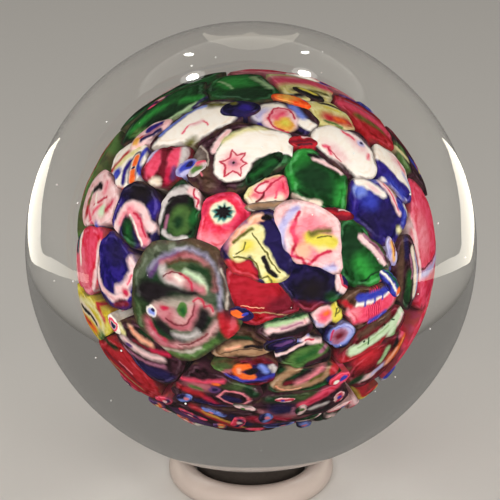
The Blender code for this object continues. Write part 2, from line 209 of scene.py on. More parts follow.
CANE_LOOKS = {
    "white_star_cane": ("plum", [
        path([(4, -48), (19, -28), (29, -2), (52, 12), (70, 8)], 11, "dark_green"),
        path([(34, -12), (56, 2)], 4, "green", 0.8), path([(-37, 8), (-32, 24), (-24, 36)], 4.2, "blush"),
        path([(-33, 8), (-27, 22), (-16, 36)], 1.2, "leaf", 0.6),
        path([(-58, 6), (-50, -16), (-40, -40)], 7, "brown", 0.9),
        path([(-66, 24), (-54, 0)], 5, "grey", 0.9), path([(-56, 18), (-46, 6), (-44, -14)], 1, "ash", 0.9),
        path([(-58, -10), (-50, -26)], 0.9, "pink", 0.9),
        path([(-13, -12), (-9, 4), (8, 20)], 23.5, "white", 0.06),
        path([(6, 18), (26, 26), (54, 28), (76, 24)], 19, "white", 0.08),
        path([(-26, 22), (-6, 38), (20, 46)], 3, "cream", 0.9), spot(-12, -11, 17.5, 17.5, "blush", 0.5),
        spot(-12, -11, 10, 10, "pink", 0.8),
        path([(-29, -8), (-18, -3.5), (-15, 8), (-9, 0.5), (0, 5), (-3, -6), (5.5, -11), (-2.5, -17),
              (-2, -26.5), (-12, -22), (-20.5, -28), (-22, -16), (-29, -8)], 1.1, "crimson", 0.6),
        spot(-13, -11, 5, 4, "mauve", 0.9), spot(-12.5, -10.5, 2, 2, "black", 0.4)]),
    "white_streak_cane": ("plum", [
        spot(6, 56, 34, 18, "navy", 0.4), spot(34, -24, 12, 24, "plum", 0.4),
        path([(9, -44), (7, -16), (4, 12), (6, 26)], 25, "white", 0.08),
        path([(-16, 30), (-6, 44)], 5.5, "olive", 0.6), path([(26, -32), (27, -16)], 6.5, "olive", 0.6),
        path([(-19, -36), (-23, 0), (-19, 24)], 2, "sky", 0.8),
        path([(6, -18), (1, -5), (3, 5), (7, 11), (16, 13)], 1.4, "rose", 0.7),
        path([(3, -3), (4, 8)], 3, "blush", 0.9)]),
    "white_oval_cane": ("plum", [
        spot(-36, 40, 18, 12, "red", 0.3), spot(58, -17, 13, 20, "red", 0.3),
        path([(0, 22), (5, 0), (9, -16)], 30, "white", 0.06), spot(24, -2, 10, 16, "blush", 0.8, 10),
        spot(-16, 6, 9, 16, "blush", 0.9), path([(-22, 22), (-18, 16), (-24, 10)], 2, "rose", 0.6),
        path([(-19, 16), (-21, 6), (-23, -4)], 0.9, "crimson", 0.7),
        path([(22, 20), (24, 12), (25, 6)], 2.2, "rose", 0.7),
        path([(26, -19), (19, -23)], 2.2, "pink", 0.8), spot(30, -4, 5.5, 4.5, "lavender", 0.6),
        spot(31.5, -4, 2.6, 2.2, "navy", 0.5)]),
    "amber_pink_cane": ("plum", [
        path([(-22, 24), (-4, 29), (8, 22)], 7.5, "white"), spot(-16, 22, 13, 9, "lavender", 0.8),
        path([(14, -16), (17, -32)], 9, "white", 0.15), path([(22, 14), (19, -6)], 5, "sky", 0.5),
        path([(-32, 16), (-29, 4)], 3, "cobalt", 0.4), path([(0, -22), (6, -30)], 4, "navy", 0.5),
        spot(-7, 4, 22, 21, "blush", 0.15), spot(-2, 13, 15, 8, "pink", 0.5),
        spot(-10, -4, 13, 13, "amber", 0.25), spot(-8, -3, 7, 6, "yellow", 0.8),
        path([(-16, -17), (-24, -2), (-17, 14), (-6, 21), (6, 21), (13, 10), (8, -4)], 1.4, "crimson", 0.6),
        path([(-10, 9), (2, 10)], 3, "rose", 0.9)]),
    "green_large_cane": ("green", [
        spot(-10, 34, 24, 11, "bright_green", 0.6, 20),
        path([(14, -34), (24, -18)], 7, "bright_green", 0.8), spot(-5, 2, 20, 24, "dark_green", 0.7, 20),
        path([(-34, 2), (-32, 18)], 4, "bright_green", 0.8),
        path([(8, 27), (20, 17), (33, 2)], 3.8, "blush", 0.4),
        path([(4, 32), (22, 24), (38, 8)], 2.8, "black", 0.5),
        path([(-43, -8), (-32, -19), (-14, -28)], 3.2, "ivory", 0.5),
        path([(-40, -24), (-18, -36), (8, -44)], 4.5, "dark_green", 0.5)]),
    "pink_scroll_cane": ("pink", [
        path([(-30, -6), (-14, 12), (6, 25), (28, 28)], 7.5, "cream"),
        path([(4, 26), (16, 31), (28, 30)], 4, "bright_green", 0.5),
        path([(-22, -12), (0, -16), (18, -10)], 5, "ivory", 0.5), spot(2, 2, 17, 10, "pink", 0.5, 25),
        spot(-6, 5, 8, 5, "blush", 0.6, 25), spot(19, 4, 7, 8, "rose", 0.7),
        path([(3, 11), (-5, 9), (-13, 1), (-4, -3), (3, 5), (14, 14), (23, 20)], 1.3, "crimson", 0.5),
        path([(-12, -14), (-3, -8), (-1, -2)], 1.4, "maroon", 0.5),
        path([(12, -10), (16, 2), (24, 12)], 1.2, "rose", 0.7)]),
    "blue_large_cane": ("cobalt", [
        spot(-28, -12, 18, 18, "navy", 0.6, -30), spot(4, -16, 24, 18, "navy", 0.9),
        spot(-9, 12, 12, 10, "blue", 0.95), spot(-16, 28, 10, 8, "sky", 0.5),
        path([(-10, 38), (4, 25), (16, 10)], 6.2, "white"), spot(7, 20, 9, 4, "blush", 0.8, -50),
        path([(14, 36), (26, 26)], 5, "sky", 0.4), path([(26, 24), (32, 4), (32, -18)], 5.5, "blush"),
        path([(30, 18), (33, 0), (33, -16)], 1.6, "rose", 0.7), path([(39, 20), (42, 2)], 4.5, "tan", 0.5),
        path([(40, -14), (42, -26), (32, -38)], 5.5, "blue", 0.4),
        path([(49, -18), (50, -32), (34, -46)], 2.8, "white", 0.6),
        path([(20, -38), (24, -46)], 5, "cream", 0.5)]),
    "white_blue_cane": ("white", [
        spot(23, 6, 9, 10, "blush", 0.9), path([(28, 2), (26, -8)], 3.5, "pink", 0.8),
        path([(-15, 20), (-13, 4), (-6, -14), (1, -26), (0, -36)], 9.5, "cobalt", 0.15),
        path([(-19, 0), (-12, -24)], 7, "blue", 0.7), path([(19, -10), (16, -28)], 3, "lavender", 0.8)]),
    "red_right_cane": ("rose", [
        spot(4, 34, 26, 24, "rose", 0.9), spot(-24, 16, 20, 24, "pink", 0.9),
        spot(14, -50, 32, 16, "crimson", 0.5), path([(-38, -24), (6, -30), (42, -26)], 5, "lavender", 0.6),
        path([(-40, -18), (8, -23), (42, -18)], 1.2, "maroon", 0.6),
        path([(-40, 48), (-44, 10), (-42, -24)], 3.5, "blush", 0.6)]),
    "green_right_cane": ("green", [
        spot(-13, 16, 17, 24, "dark_green", 0.6, -20),
        path([(-6, -6), (4, -22), (14, -36)], 8, "bright_green", 0.8),
        path([(4, 22), (21, 0), (35, -18)], 4.2, "blush", 0.35),
        path([(10, 24), (27, 2), (38, -14)], 2, "mauve", 0.6),
        path([(36, -22), (14, -26), (-6, -30)], 1.4, "dark_green", 0.6),
        path([(36, 14), (44, -4), (46, -24)], 7, "plum", 0.4), spot(51, -9, 8, 15, "lavender", 0.3),
        spot(51, -8, 5, 10, "amber", 0.5), path([(34, -28), (24, -41)], 2.4, "rose", 0.6),
        path([(46, -28), (40, -40), (28, -49)], 4, "blue", 0.5),
        path([(20, -46), (26, -45)], 2.4, "orange", 0.5)]),
    "pink_lobed_cane": ("blush", [
        path([(-13, 39), (-35, 19), (-40, -8), (-35, -26), (-20, -39), (-1, -42),
              (22, -40)], 5, "lavender", 0.5), spot(2, -3, 25, 26, "pink", 0.4),
        spot(-15, -11, 11, 11, "peach", 0.6), spot(-1, 17, 14, 11, "pink", 0.5, 20),
        spot(14, -11, 13, 8, "cream", 0.6), path([(-4, 1), (9, -4), (26, -9)], 8, "yellow"),
        path([(-2, 6), (10, 7), (24, 5)], 3.5, "olive", 0.7), path([(6, -1), (26, -3)], 1, "olive", 0.6),
        path([(-10, 34), (-17, 23), (-23, 12), (-21, 2), (-24, -5), (-31, -16), (-18, -22), (-13, -31),
              (-3, -26), (5, -23), (22, -20)], 2, "crimson", 0.5),
        path([(-20, 20), (-22, 10), (-20, 0)], 3.5, "rose", 0.8)]),
    "navy_dark_cane": ("navy", [
        spot(8, -10, 24, 18, "black", 0.9, -10), path([(-34, -22), (-9, -30), (16, -34)], 6, "maroon", 0.5),
        path([(16, 28), (29, 24), (41, 18), (43, 4), (44, -14), (54, -20), (64, -12)], 4.2, "blush"),
        path([(20, 32), (33, 29), (45, 22)], 1.6, "rose", 0.7),
        path([(46, 8), (48, -12), (54, -16)], 1.2, "crimson", 0.5),
        path([(30, -22), (40, -28)], 7, "dark_green", 0.4), path([(32, -26), (42, -32)], 3, "green", 0.6)]),
    "yellow_star_cane": ("navy", [
        spot(15, 16, 24, 26, "navy", 0.3), spot(-33, -26, 26, 21, "red", 0.15),
        spot(0, -56, 26, 18, "red", 0.2), path([(-36, 10), (-30, 25), (-12, 34)], 9, "mauve"),
        path([(-33, 13), (-25, 25), (-9, 32)], 6.2, "peach"),
        path([(-29, 2), (-17, 12), (-7, 24)], 11.5, "cream", 0.12),
        path([(-9, 10), (4, -12), (13, -27), (26, -36)], 11.5, "cream", 0.12),
        spot(-17, 9, 9, 6, "yellow", 0.8, 30), spot(12, -33, 9, 5, "yellow", 0.8, -40),
        path([(-34, 15), (-11, 30)], 2.2, "olive", 0.5),
        path([(-34, -4), (-21, -5), (-7, -12), (-3, -29), (7, -28), (13, -40), (19, -45), (25, -36),
              (36, -36)], 1.1, "olive", 0.4),
        path([(-11, 24), (-2, 12), (5, 1), (14, -14), (22, -24)], 1, "olive", 0.4),
        path([(-31, 0), (-22, 6), (-19, 13)], 1.1, "olive", 0.4),
        path([(2, -5), (7, -13), (9, -21), (16, -28)], 3.2, "black"),
        path([(-12, 42), (0, 44)], 5, "peach"), path([(4, 44), (12, 45)], 3, "black")]),
    "red_dome_cane": ("brick", [
        spot(28, -15, 24, 12, "maroon", 0.5, -10), spot(-14, 8, 34, 18, "brick", 0.9),
        path([(42, 26), (40, 2), (22, -20)], 9, "maroon", 0.5),
        path([(-34, -23), (2, -21), (34, -26)], 0.8, "tan", 0.6),
        path([(-24, -12), (6, -16)], 0.5, "peach", 0.6), spot(-28, -28, 18, 5, "maroon", 0.5)]),
    "pink_eye_cane": ("rose", [
        path([(-24, -26), (4, -32), (20, -20)], 7, "pink", 0.7),
        path([(18, -12), (26, 6)], 5, "crimson", 0.7),
        path([(-24, 4), (-16, 24), (4, 30)], 3, "crimson", 0.8), spot(-2, 6, 15, 14.5, "ivory"),
        spot(-2, 5, 12.5, 12, "mint", 0.5), spot(-1, 5.5, 11, 10, "teal", 0.25, 10, 9, 0.16),
        spot(-1, 7, 8.5, 7.2, "black", 0.25, 10, 9, 0.2)]),
    "green_grey_cane": ("dark_green", [
        path([(-30, -26), (-28, 6), (-16, 23), (0, 30)], 5, "pale_grey", 0.4),
        path([(-22, 10), (-10, 20), (2, 22)], 1.4, "black", 0.5),
        path([(-17, -4), (-13, 8), (-3, 15)], 7.2, "black"),
        path([(2, 29), (14, 26), (19, 16)], 5.5, "blush"),
        path([(5, 31), (9, 23), (15, 22), (17, 14)], 1.3, "crimson", 0.5),
        spot(1, -10, 14, 18, "leaf", 0.4, 10), spot(0, -12, 9, 11, "dark_green", 0.8),
        spot(17, -2, 6, 10, "green", 0.6), path([(-18, -26), (-4, -32), (14, -28)], 2.2, "pale_grey", 0.6),
        path([(-18, -8), (-16, -22)], 2.2, "mauve", 0.7)]),
    "navy_arch_cane": ("navy", [
        spot(-6, 26, 26, 16, "black", 0.9), spot(27, 15, 11, 11, "cobalt", 0.5, -20),
        path([(-44, -41), (-29, -24), (-28, 0)], 6, "cobalt", 0.6),
        path([(-20, -28), (-20, -6), (-6, 7), (16, 6), (26, -4), (38, -6)], 6, "blush"),
        path([(-16, -20), (-15, -8)], 3, "pink", 0.8),
        path([(-8, 0), (12, -8), (32, -24)], 6.5, "pink", 0.4),
        path([(0, 0), (15, -5), (32, -19)], 1.4, "crimson", 0.6),
        path([(-4, -5), (12, -14), (30, -30)], 1.4, "white", 0.8),
        path([(-2, -16), (2, -26), (10, -36)], 8.5, "dark_green"),
        path([(0, -20), (5, -32)], 3.5, "green", 0.9)]),
    "navy_low_cane": ("cobalt", [
        spot(2, 16, 20, 16, "navy", 0.8),
        path([(-35, -6), (-27, -26), (-9, -39), (14, -37), (30, -26)], 4.2, "blush"),
        path([(12, -28), (26, -18), (36, 2), (29, 14)], 6, "blush", 0.4),
        spot(26, -26, 6, 5, "crimson", 0.6), path([(29, -14), (35, -2)], 1.6, "rose", 0.8),
        path([(-39, -28), (-24, -43), (-10, -50)], 3.5, "navy", 0.4),
        path([(6, -46), (26, -40)], 4, "maroon", 0.5), path([(43, 6), (44, -14)], 5, "white", 0.4)]),
    "pink_left_cane": ("rose", [
        path([(-14, -10), (-6, -30), (10, -40)], 13, "pink", 0.8),
        path([(28, 32), (32, 2), (23, -26)], 3.5, "blush", 0.5),
        path([(-26, 26), (-19, 6), (-15, -8)], 3, "white", 0.5), path([(-33, 20), (-31, 2)], 6, "teal"),
        path([(-36, 16), (-33, 0)], 3, "navy", 0.5), path([(-44, -4), (-30, -26)], 3.5, "blush", 0.6),
        path([(6, 36), (12, 8)], 5, "rose", 0.9)]),
    "pink_striped_cane": ("blush", [
        path([(-26, 4), (-18, 12), (-12, 14)], 4, "black", 0.4), path([(-4, 22), (2, 16)], 4, "pink", 0.8),
        path([(-8, -6), (4, 6), (12, 14)], 1.6, "crimson", 0.7),
        path([(-2, -14), (8, 0)], 2.8, "rose", 0.8), spot(17, -3, 8, 7, "mint", 0.6),
        path([(24, 2), (29, 16)], 4, "crimson", 0.7), path([(16, -22), (28, -26)], 4.5, "blue", 0.6),
        path([(-28, -10), (-20, -22)], 4.5, "red", 0.5), path([(-29, -2), (-26, -12)], 2.5, "leaf", 0.6),
        path([(-14, -18), (6, -26)], 3, "rose", 0.7), path([(-14, 4), (-4, -4)], 2, "white", 0.8)]),
    "blue_orange_cane": ("white", [
        path([(-24, -18), (-19, 8)], 4.5, "red", 0.5),
        path([(-19, -12), (-12, 8), (-8, 22)], 4, "cream", 0.5), spot(-8, -16, 8.5, 8, "blue", 0.5),
        path([(-3, -26), (3, -16), (2, -6)], 2.2, "white", 0.5),
        path([(-1, 6), (4, -5), (15, -15)], 4.2, "cobalt", 0.4),
        path([(5, 29), (9, 18), (17, 12), (29, 8)], 4.2, "blue", 0.4),
        path([(2, 16), (12, 4), (25, -5)], 6.6, "navy", 0.2),
        path([(3, 15), (12, 4), (25, -5)], 5, "ivory", 0.25), path([(4, 15), (9, 9)], 4, "orange", 0.25),
        path([(17, 1), (26, -5)], 4.6, "orange", 0.25), spot(12, 4, 2, 3, "navy", 0.4, -30),
        path([(22, -22), (8, -30)], 4, "red", 0.5)]),
    "crimson_pair_cane": ("maroon", [
        spot(-13, -8, 11.5, 19, "rose", 0.25, 30), spot(-15, -10, 6, 10, "rose", 0.9, 30),
        spot(10, 10, 11, 18, "rose", 0.3, 30), path([(14, -6), (22, -16)], 4, "crimson", 0.6),
        path([(-16, 14), (2, 0), (14, -16)], 2.8, "maroon", 0.6),
        path([(10, 28), (20, 18), (25, 6)], 4, "pale_grey", 0.6),
        path([(-26, 8), (-26, -6)], 3, "lavender", 0.6), path([(20, 0), (26, -8)], 3.5, "violet", 0.7),
        path([(2, -26), (12, -24)], 5, "ivory", 0.5)]),
    "green_left_cane": ("dark_green", [
        path([(12, -42), (-2, -19), (-4, 2)], 9, "bright_green", 0.6),
        spot(6, 10, 16, 14, "dark_green", 0.6), path([(-4, 20), (0, 36)], 7, "bright_green", 0.6),
        spot(-26, 4, 14, 30, "green", 0.7),
        path([(40, -6), (31, 12), (22, 26), (12, 38)], 4.2, "pale_green", 0.4),
        path([(42, 6), (31, 23), (14, 38), (-3, 48)], 2.4, "navy", 0.5),
        path([(48, 8), (36, 26), (18, 42)], 3, "lavender", 0.6),
        path([(22, -42), (30, -28)], 5, "leaf", 0.5)]),
    "green_top_cane": ("green", [
        spot(4, -14, 20, 22, "bright_green", 0.7, 15), spot(6, 26, 26, 16, "dark_green", 0.5, -20),
        path([(-26, 18), (-20, -18)], 4, "pale_green", 0.6),
        path([(28, -30), (32, -6)], 5, "dark_green", 0.6),
        path([(16, -28), (12, 4)], 1.6, "pale_green", 0.8)]),
    "pink_top_cane": ("cream", [
        path([(26, 42), (12, 6), (0, -18), (-10, -36)], 13, "rose", 0.4),
        path([(34, 32), (16, -10)], 4, "pink", 0.7), path([(-23, 36), (-25, 26)], 5, "black", 0.4),
        path([(-28, 14), (-30, 4)], 6, "black", 0.4),
        path([(-13, 26), (-19, 6), (-30, -14)], 3, "olive", 0.7),
        path([(-38, 26), (-38, 6)], 3, "maroon", 0.6)]),
    "red_yellow_cane": ("cream", [
        path([(-9, 4), (-5, -9), (0, -20)], 8.5, "red", 0.5), path([(-5, -6), (-2, -14)], 4, "orange", 0.8),
        path([(16, 16), (22, -6), (24, -22)], 2.5, "black", 0.5),
        path([(10, 9), (14, -8)], 2, "yellow", 0.8), path([(-18, 8), (-16, -14)], 2, "leaf", 0.6)]),
    "red_streak_cane": ("red", [
        path([(24, 36), (26, 6), (20, -24)], 3.5, "maroon", 0.5),
        path([(2, 38), (2, 0), (-4, -26)], 9, "rose", 0.7), path([(-14, 16), (-16, -17)], 5, "olive", 0.7),
        path([(14, 24), (12, -16)], 1.4, "mauve", 0.7), path([(34, 24), (30, -14)], 3, "blue", 0.8)]),
    "olive_strip_cane": ("plum", [
        path([(-14, 54), (-28, 34), (-27, 16)], 5.5, "cream", 0.4),
        path([(-16, 40), (-18, 18)], 4, "leaf", 0.5), path([(-39, 40), (-44, 14)], 6, "leaf", 0.5),
        path([(-16, 2), (-13, -16)], 4.5, "blue", 0.5), spot(14, 10, 16, 22, "maroon", 0.5),
        path([(2, -20), (16, -26)], 6, "rose", 0.5), path([(30, 20), (24, -18)], 4, "tan", 0.5)]),
    "swirl_disc_cane": ("moss", [
        path([(-16, 74), (24, 67), (50, 44), (60, 10)], 10, "brown", 0.9),
        path([(-64, 20), (-48, 50), (-22, 68)], 9, "sage", 0.9), spot(-7, -6, 62, 68, "dark_green", 0.3),
        spot(6, 32, 36, 19, "sage", 0.9, -20), spot(-46, 2, 26, 16, "black", 0.4, 10),
        path([(-62, -24), (-60, -50), (-48, -74)], 7, "moss", 1),
        path([(-53, 29), (-32, 52), (-4, 62), (22, 58), (36, 41), (43, 19), (46, -6)], 2.7, "slate", 1),
        path([(-50, 24), (-34, 46), (-15, 56)], 3, "violet", 1),
        path([(-36, 40), (-15, 53), (10, 55), (29, 43), (37, 20)], 3, "old_rose", 0.9),
        path([(-34, 36), (-13, 49), (12, 50)], 1.4, "maroon", 0.9),
        path([(-25, 36), (-2, 43), (24, 40)], 7, "moss", 1),
        path([(6, 43), (26, 39), (32, 24)], 5.5, "dark_green", 0.9),
        path([(-34, 34), (-29, 26), (-10, 18)], 4, "pale_grey", 0.9),
        path([(-2, 36), (16, 32), (25, 20)], 3.2, "mint", 0.9),
        path([(-22, 28), (-6, 25), (4, 21)], 6.2, "dusty_pink", 0.53),
        path([(-14, 28), (-8, 26)], 3, "white", 1.1), path([(7, 21), (21, 18)], 5, "old_rose", 0.6),
        path([(-9, 33), (3, 28), (8, 22), (9, 15)], 1.3, "crimson", 0.9),
        path([(-39, 10), (-12, 12), (12, 12)], 4.2, "black", 0.75),
        path([(-39, -14), (-24, -8), (-6, -3), (8, -2)], 5.5, "ash", 0.75),
        path([(-36, -19), (-18, -22), (2, -26), (10, -12)], 8.5, "dusty_pink", 0.6),
        path([(-32, -16), (-22, -19)], 5, "old_rose", 1.1), spot(-29, -13, 5.5, 3, "crimson", 0.6),
        path([(-30, -26), (-24, -27), (-12, -36), (3, -32), (13, -18), (16, -4)], 4.2, "old_rose", 0.75),
        path([(-26, -26), (-12, -32), (2, -29), (11, -16), (13, -3), (10, 2)], 1.2, "maroon", 0.9),
        path([(14, 3), (22, -1), (27, -3), (36, -9)], 4.2, "dusty_pink", 0.75),
        path([(10, 1), (16, 7), (23, 3), (26, -4), (32, -1), (37, -7)], 1.4, "crimson", 0.9),
        spot(-3, -11, 7.5, 10.5, "leaf", 0.2), spot(-2, -13, 5.5, 7, "green", 0.8),
        path([(-36, -34), (-25, -43), (-11, -51)], 6.2, "black", 0.53),
        path([(25, -13), (22, -24), (17, -32)], 7.2, "black", 0.53),
        path([(-14, -46), (4, -45), (14, -40)], 3.5, "pale_grey", 1),
        path([(-54, -35), (-47, -53), (-32, -63), (-14, -62)], 5.5, "old_rose", 0.67),
        path([(-49, -37), (-42, -50), (-29, -57)], 2, "crimson", 1.1),
        path([(-14, -61), (9, -56), (29, -41), (40, -24)], 4, "dusty_pink", 0.9),
        path([(-12, -59), (9, -53), (27, -39)], 1.2, "maroon", 0.9),
        path([(-38, -74), (-7, -74), (17, -64), (36, -48)], 4.2, "leaf", 0.9),
        path([(-34, -70), (-7, -69), (16, -60)], 1.6, "ash", 1), spot(-47, -22, 7.8, 7.2, "white", 0.2),
        spot(-47, -23, 5, 4.5, "sky", 0.6), spot(-45, -20, 2.6, 2.2, "navy", 0.3),
        spot(54, -26, 11, 19, "red", 0.3, 15),
        path([(44, 52), (58, 26), (60, -4), (56, -10)], 7.5, "plum", 0.9),
        path([(42, 46), (52, 22), (53, -4)], 1.2, "ash", 0.9),
        path([(-31, 25), (-20, 33), (-8, 33)], 0.9, "maroon", 0.8),
        path([(-20, -42), (-10, -42), (4, -39)], 1.2, "sage", 0.9)]),
    "striped_scroll_cane": ("plum", [
        path([(-24, 8), (2, 13), (28, 17)], 3, "dark_green", 0.5),
        path([(-24, 3), (2, 7), (26, 12)], 3.2, "pale_green", 0.5),
        path([(-22, -4), (2, 0), (24, 6)], 4.5, "blush", 0.5), path([(-6, -1), (18, 4)], 2, "mauve", 0.8),
        path([(-16, -10), (8, -9), (24, -4)], 3.5, "black", 0.5), spot(-34, 4, 9, 5, "black", 0.4)]),
    "pink_bead_cane": ("plum", [
        spot(-5, -1, 15, 13.5, "blush", 0.2), spot(-3, -1, 9.5, 9, "rose", 0.7),
        spot(-1, 3, 4, 3.5, "orange", 0.9), path([(12, 7), (15, -5)], 7.5, "yellow", 0.2),
        path([(12, -4), (12, 4), (16, 5), (17, 0), (14, -2)], 1.2, "olive", 0.5),
        path([(-16, -8), (-6, -13)], 2.5, "lavender", 0.7)]),
    "lavender_bead_cane": ("navy", [
        spot(2, 1, 18, 16, "sky", 0.2), spot(5, 3, 12, 11, "lavender", 0.7),
        spot(-1, 0, 11.5, 11, "mauve", 0.25), spot(-1, 1, 6, 5.5, "maroon", 0.7),
        path([(-10, 9), (-13, -2)], 1.4, "crimson", 0.6)]),
    "crimson_fringe_cane": ("brown", [
        path([(-26, -9), (2, -8), (36, 0)], 11.5, "rose", 0.2), bars(6, -8, 38, 12, "crimson", 7, 90, 0.7),
        spot(-26, -6, 9, 8, "pink", 0.8), path([(-20, 5), (0, 5), (26, 6), (38, 12)], 3, "white", 0.5),
        path([(-16, 12), (6, 11), (26, 12), (40, 19)], 5, "blue", 0.35),
        path([(-8, 9), (-9, 1)], 1.4, "blue", 0.6), path([(6, 8), (5, 0)], 1.4, "blue", 0.6),
        path([(19, 9), (19, 1)], 1.4, "blue", 0.6),
        path([(0, -22), (14, -20), (26, -16)], 2.8, "blue", 0.6),
        path([(-38, 12), (-30, 4)], 3, "red", 0.6)]),
    "mint_cane": ("maroon", [
        path([(-36, 6), (-16, 15), (4, 22)], 5, "brown", 0.6),
        path([(-50, -32), (-20, -26), (6, -20)], 11, "red", 0.5),
        path([(20, -38), (23, -20), (22, -4)], 4, "pale_green", 0.4),
        path([(-42, -16), (-28, -11), (-11, -4), (13, 6), (32, 17)], 7.5, "mint", 0.25),
        path([(16, -6), (30, 8)], 5, "mint", 0.5), path([(28, 2), (35, 12)], 2.4, "blush", 0.7),
        path([(-36, -12), (-14, -2), (8, 7)], 1.4, "pale_green", 0.8),
        path([(-23, -1), (-21, -10)], 1.2, "green", 0.4), spot(-29, -5, 1.4, 1.4, "dark_green", 0.4),
        path([(12, 15), (18, 13)], 1.2, "green", 0.5), spot(0, 10, 2, 1.4, "dark_green", 0.4)]),
    "maroon_right_cane": ("maroon", [
        spot(-24, 8, 20, 16, "red", 0.7, 15), path([(8, 12), (5, -4)], 4, "pale_green", 0.5),
        path([(-10, -28), (4, -24)], 5.5, "blush", 0.4), path([(4, -22), (14, -14)], 4, "lavender", 0.5),
        path([(-26, -30), (-16, -26)], 6, "dark_green", 0.5), spot(24, 16, 6, 9, "black", 0.4),
        path([(26, -6), (38, 6), (42, 22)], 7, "orange", 0.7),
        path([(22, -12), (30, 2)], 3.5, "peach", 0.6), path([(34, 24), (44, 30)], 6, "rose", 0.6)]),
    "green_bottom_cane": ("black", [
        spot(-40, 13, 15, 9, "navy", 0.2, 10),
        path([(-52, 4), (-36, 1), (-18, 10), (-6, 19)], 1.8, "blush", 0.5),
        path([(-30, 19), (-14, 22), (-2, 26)], 2.4, "sky", 0.6),
        path([(-8, 25), (4, 19), (14, 17)], 4.2, "blush", 0.5),
        path([(-4, 22), (6, 21)], 1.4, "crimson", 0.6),
        path([(-18, -16), (-6, -3), (14, 3)], 12, "leaf", 0.2), path([(-8, -6), (8, 2)], 6, "green", 0.9),
        path([(18, 0), (24, 10)], 3, "mauve", 0.6), path([(4, -16), (26, -6)], 3, "plum", 0.5)]),
    "beige_loop_cane": ("dark_green", [
        path([(-32, -4), (-20, -13), (0, -10), (23, -3), (32, 12)], 5.5, "tan"),
        path([(-7, 24), (-23, 10), (-32, -3)], 5, "tan", 0.4),
        path([(-30, -8), (-18, -16), (2, -13)], 1.2, "peach", 0.6),
        path([(-20, -4), (-8, 2)], 3.5, "maroon", 0.5),
        path([(-8, 4), (2, 12), (10, 20)], 3.2, "black", 0.4),
        path([(-4, -2), (12, 7), (22, 18)], 4.2, "pink", 0.9), path([(12, -2), (22, 6)], 3, "olive", 0.7),
        spot(40, -5, 8, 6, "navy", 0.3), spot(40, 9, 7, 9, "red", 0.4),
        path([(-30, -26), (0, -24), (30, -14)], 3, "green", 0.8)]),
    "blue_flower_cane": ("maroon", [
        spot(-32, 9, 15, 7, "moss", 0.9), path([(-40, -6), (-22, 2)], 2.5, "old_rose", 0.9),
        path([(-28, -9), (-7, -13), (15, -10), (32, -2)], 4.5, "blue", 0.4),
        path([(-36, -14), (-8, -18), (20, -15)], 1.4, "navy", 0.5), spot(10, 2, 23, 12, "navy", 0.2, 6),
        path([(26, 8), (31, 1)], 4.2, "pale_grey", 0.4), path([(14, 10), (20, 0)], 4, "sky", 0.5),
        path([(-2, 10), (-13, 7), (-15, 0), (-7, -7), (4, -8)], 5, "orange", 0.25),
        path([(-12, 5), (-13, 0)], 2, "peach", 0.9), spot(2, 2, 7.5, 6, "black", 0.25),
        path([(-44, 2), (-34, 2)], 3.5, "leaf", 0.6)]),
    "beige_scroll_cane": ("brown", [
        path([(-26, -15), (-10, -8), (4, -6), (31, -10)], 6.2, "tan"),
        path([(-18, -6), (-2, 2), (12, 3)], 5, "tan", 0.4),
        path([(-22, -12), (4, -4), (28, -6)], 0.8, "brown", 0.6),
        path([(-16, -5), (0, 1)], 2, "peach", 0.8), path([(8, -1), (18, 0), (28, -2)], 2.5, "black", 0.4),
        path([(-32, -20), (-4, -19), (24, -20)], 2, "maroon", 0.5),
        path([(-28, 6), (-10, 13), (14, 12)], 3, "dark_green", 0.5)]),
    "crimson_low_cane": ("plum", [
        path([(-44, -16), (-10, -22), (12, -26)], 5, "old_rose", 0.9), spot(-6, 20, 14, 8, "moss", 0.8, 10),
        spot(-26, -8, 16, 14, "navy", 0.7), path([(-46, 12), (-24, 18)], 6, "dark_green", 0.6),
        path([(0, 4), (16, 18), (32, 30)], 7.5, "rose", 0.4), path([(6, 6), (24, 20)], 3, "crimson", 0.8),
        path([(14, -10), (30, -4)], 3.5, "pale_grey", 0.6), path([(6, -24), (34, -20)], 6, "black", 0.6),
        path([(-36, -28), (-10, -34)], 5, "crimson", 0.7), path([(-12, -2), (-6, -20)], 2, "mauve", 0.8)]),
    "violet_low_cane": ("plum", [
        spot(-14, 6, 16, 8, "old_rose", 0.9, 10), spot(32, 9, 16, 7, "moss", 0.9),
        path([(-10, -16), (-2, -30)], 4, "crimson", 0.9),
        path([(-36, 14), (-10, 16), (16, 20)], 3, "rose", 0.7),
        path([(-40, -4), (-16, -10)], 5, "red", 0.7),
        path([(6, -11), (16, 0), (32, -2), (42, -12), (34, -26), (20, -29), (6, -11)], 1.6, "pink", 0.6),
        path([(15, -13), (26, -18)], 5, "navy"), spot(3, 3, 7, 6, "violet", 0.3),
        spot(3, 3, 3.5, 3, "navy", 0.4), spot(7, 14, 5, 3, "orange", 0.5),
        path([(22, -34), (28, -32)], 2.2, "blush", 0.6),
        path([(-36, -22), (-12, -28), (6, -34)], 4, "navy", 0.6),
        path([(-24, 4), (-14, 2)], 3.5, "leaf", 0.6), path([(44, 4), (48, -12)], 5, "dark_green", 0.5)]),
    "yellow_loop_cane": ("yellow", [
        path([(-34, 2), (-14, 12), (14, 18), (36, 12), (40, -4), (22, -18)], 3.5, "cream", 0.6),
        path([(-26, -12), (6, -16)], 6, "orange", 0.6), path([(-20, -10), (-4, -12)], 3, "red", 0.7),
        path([(-28, 2), (6, 4), (22, -6)], 6.5, "ivory", 0.4),
        path([(-26, 2), (6, 3), (19, -7)], 2.8, "black", 0.4), path([(28, -16), (10, -28)], 5, "leaf", 0.7),
        path([(34, 24), (46, 4)], 3, "red", 0.6)]),
    "navy_slant_cane": ("plum", [
        path([(-66, -3), (-43, -17), (-12, -22), (14, -26)], 10, "navy", 0.4),
        path([(-38, 16), (-14, 6), (16, 2)], 4.5, "blush", 0.7),
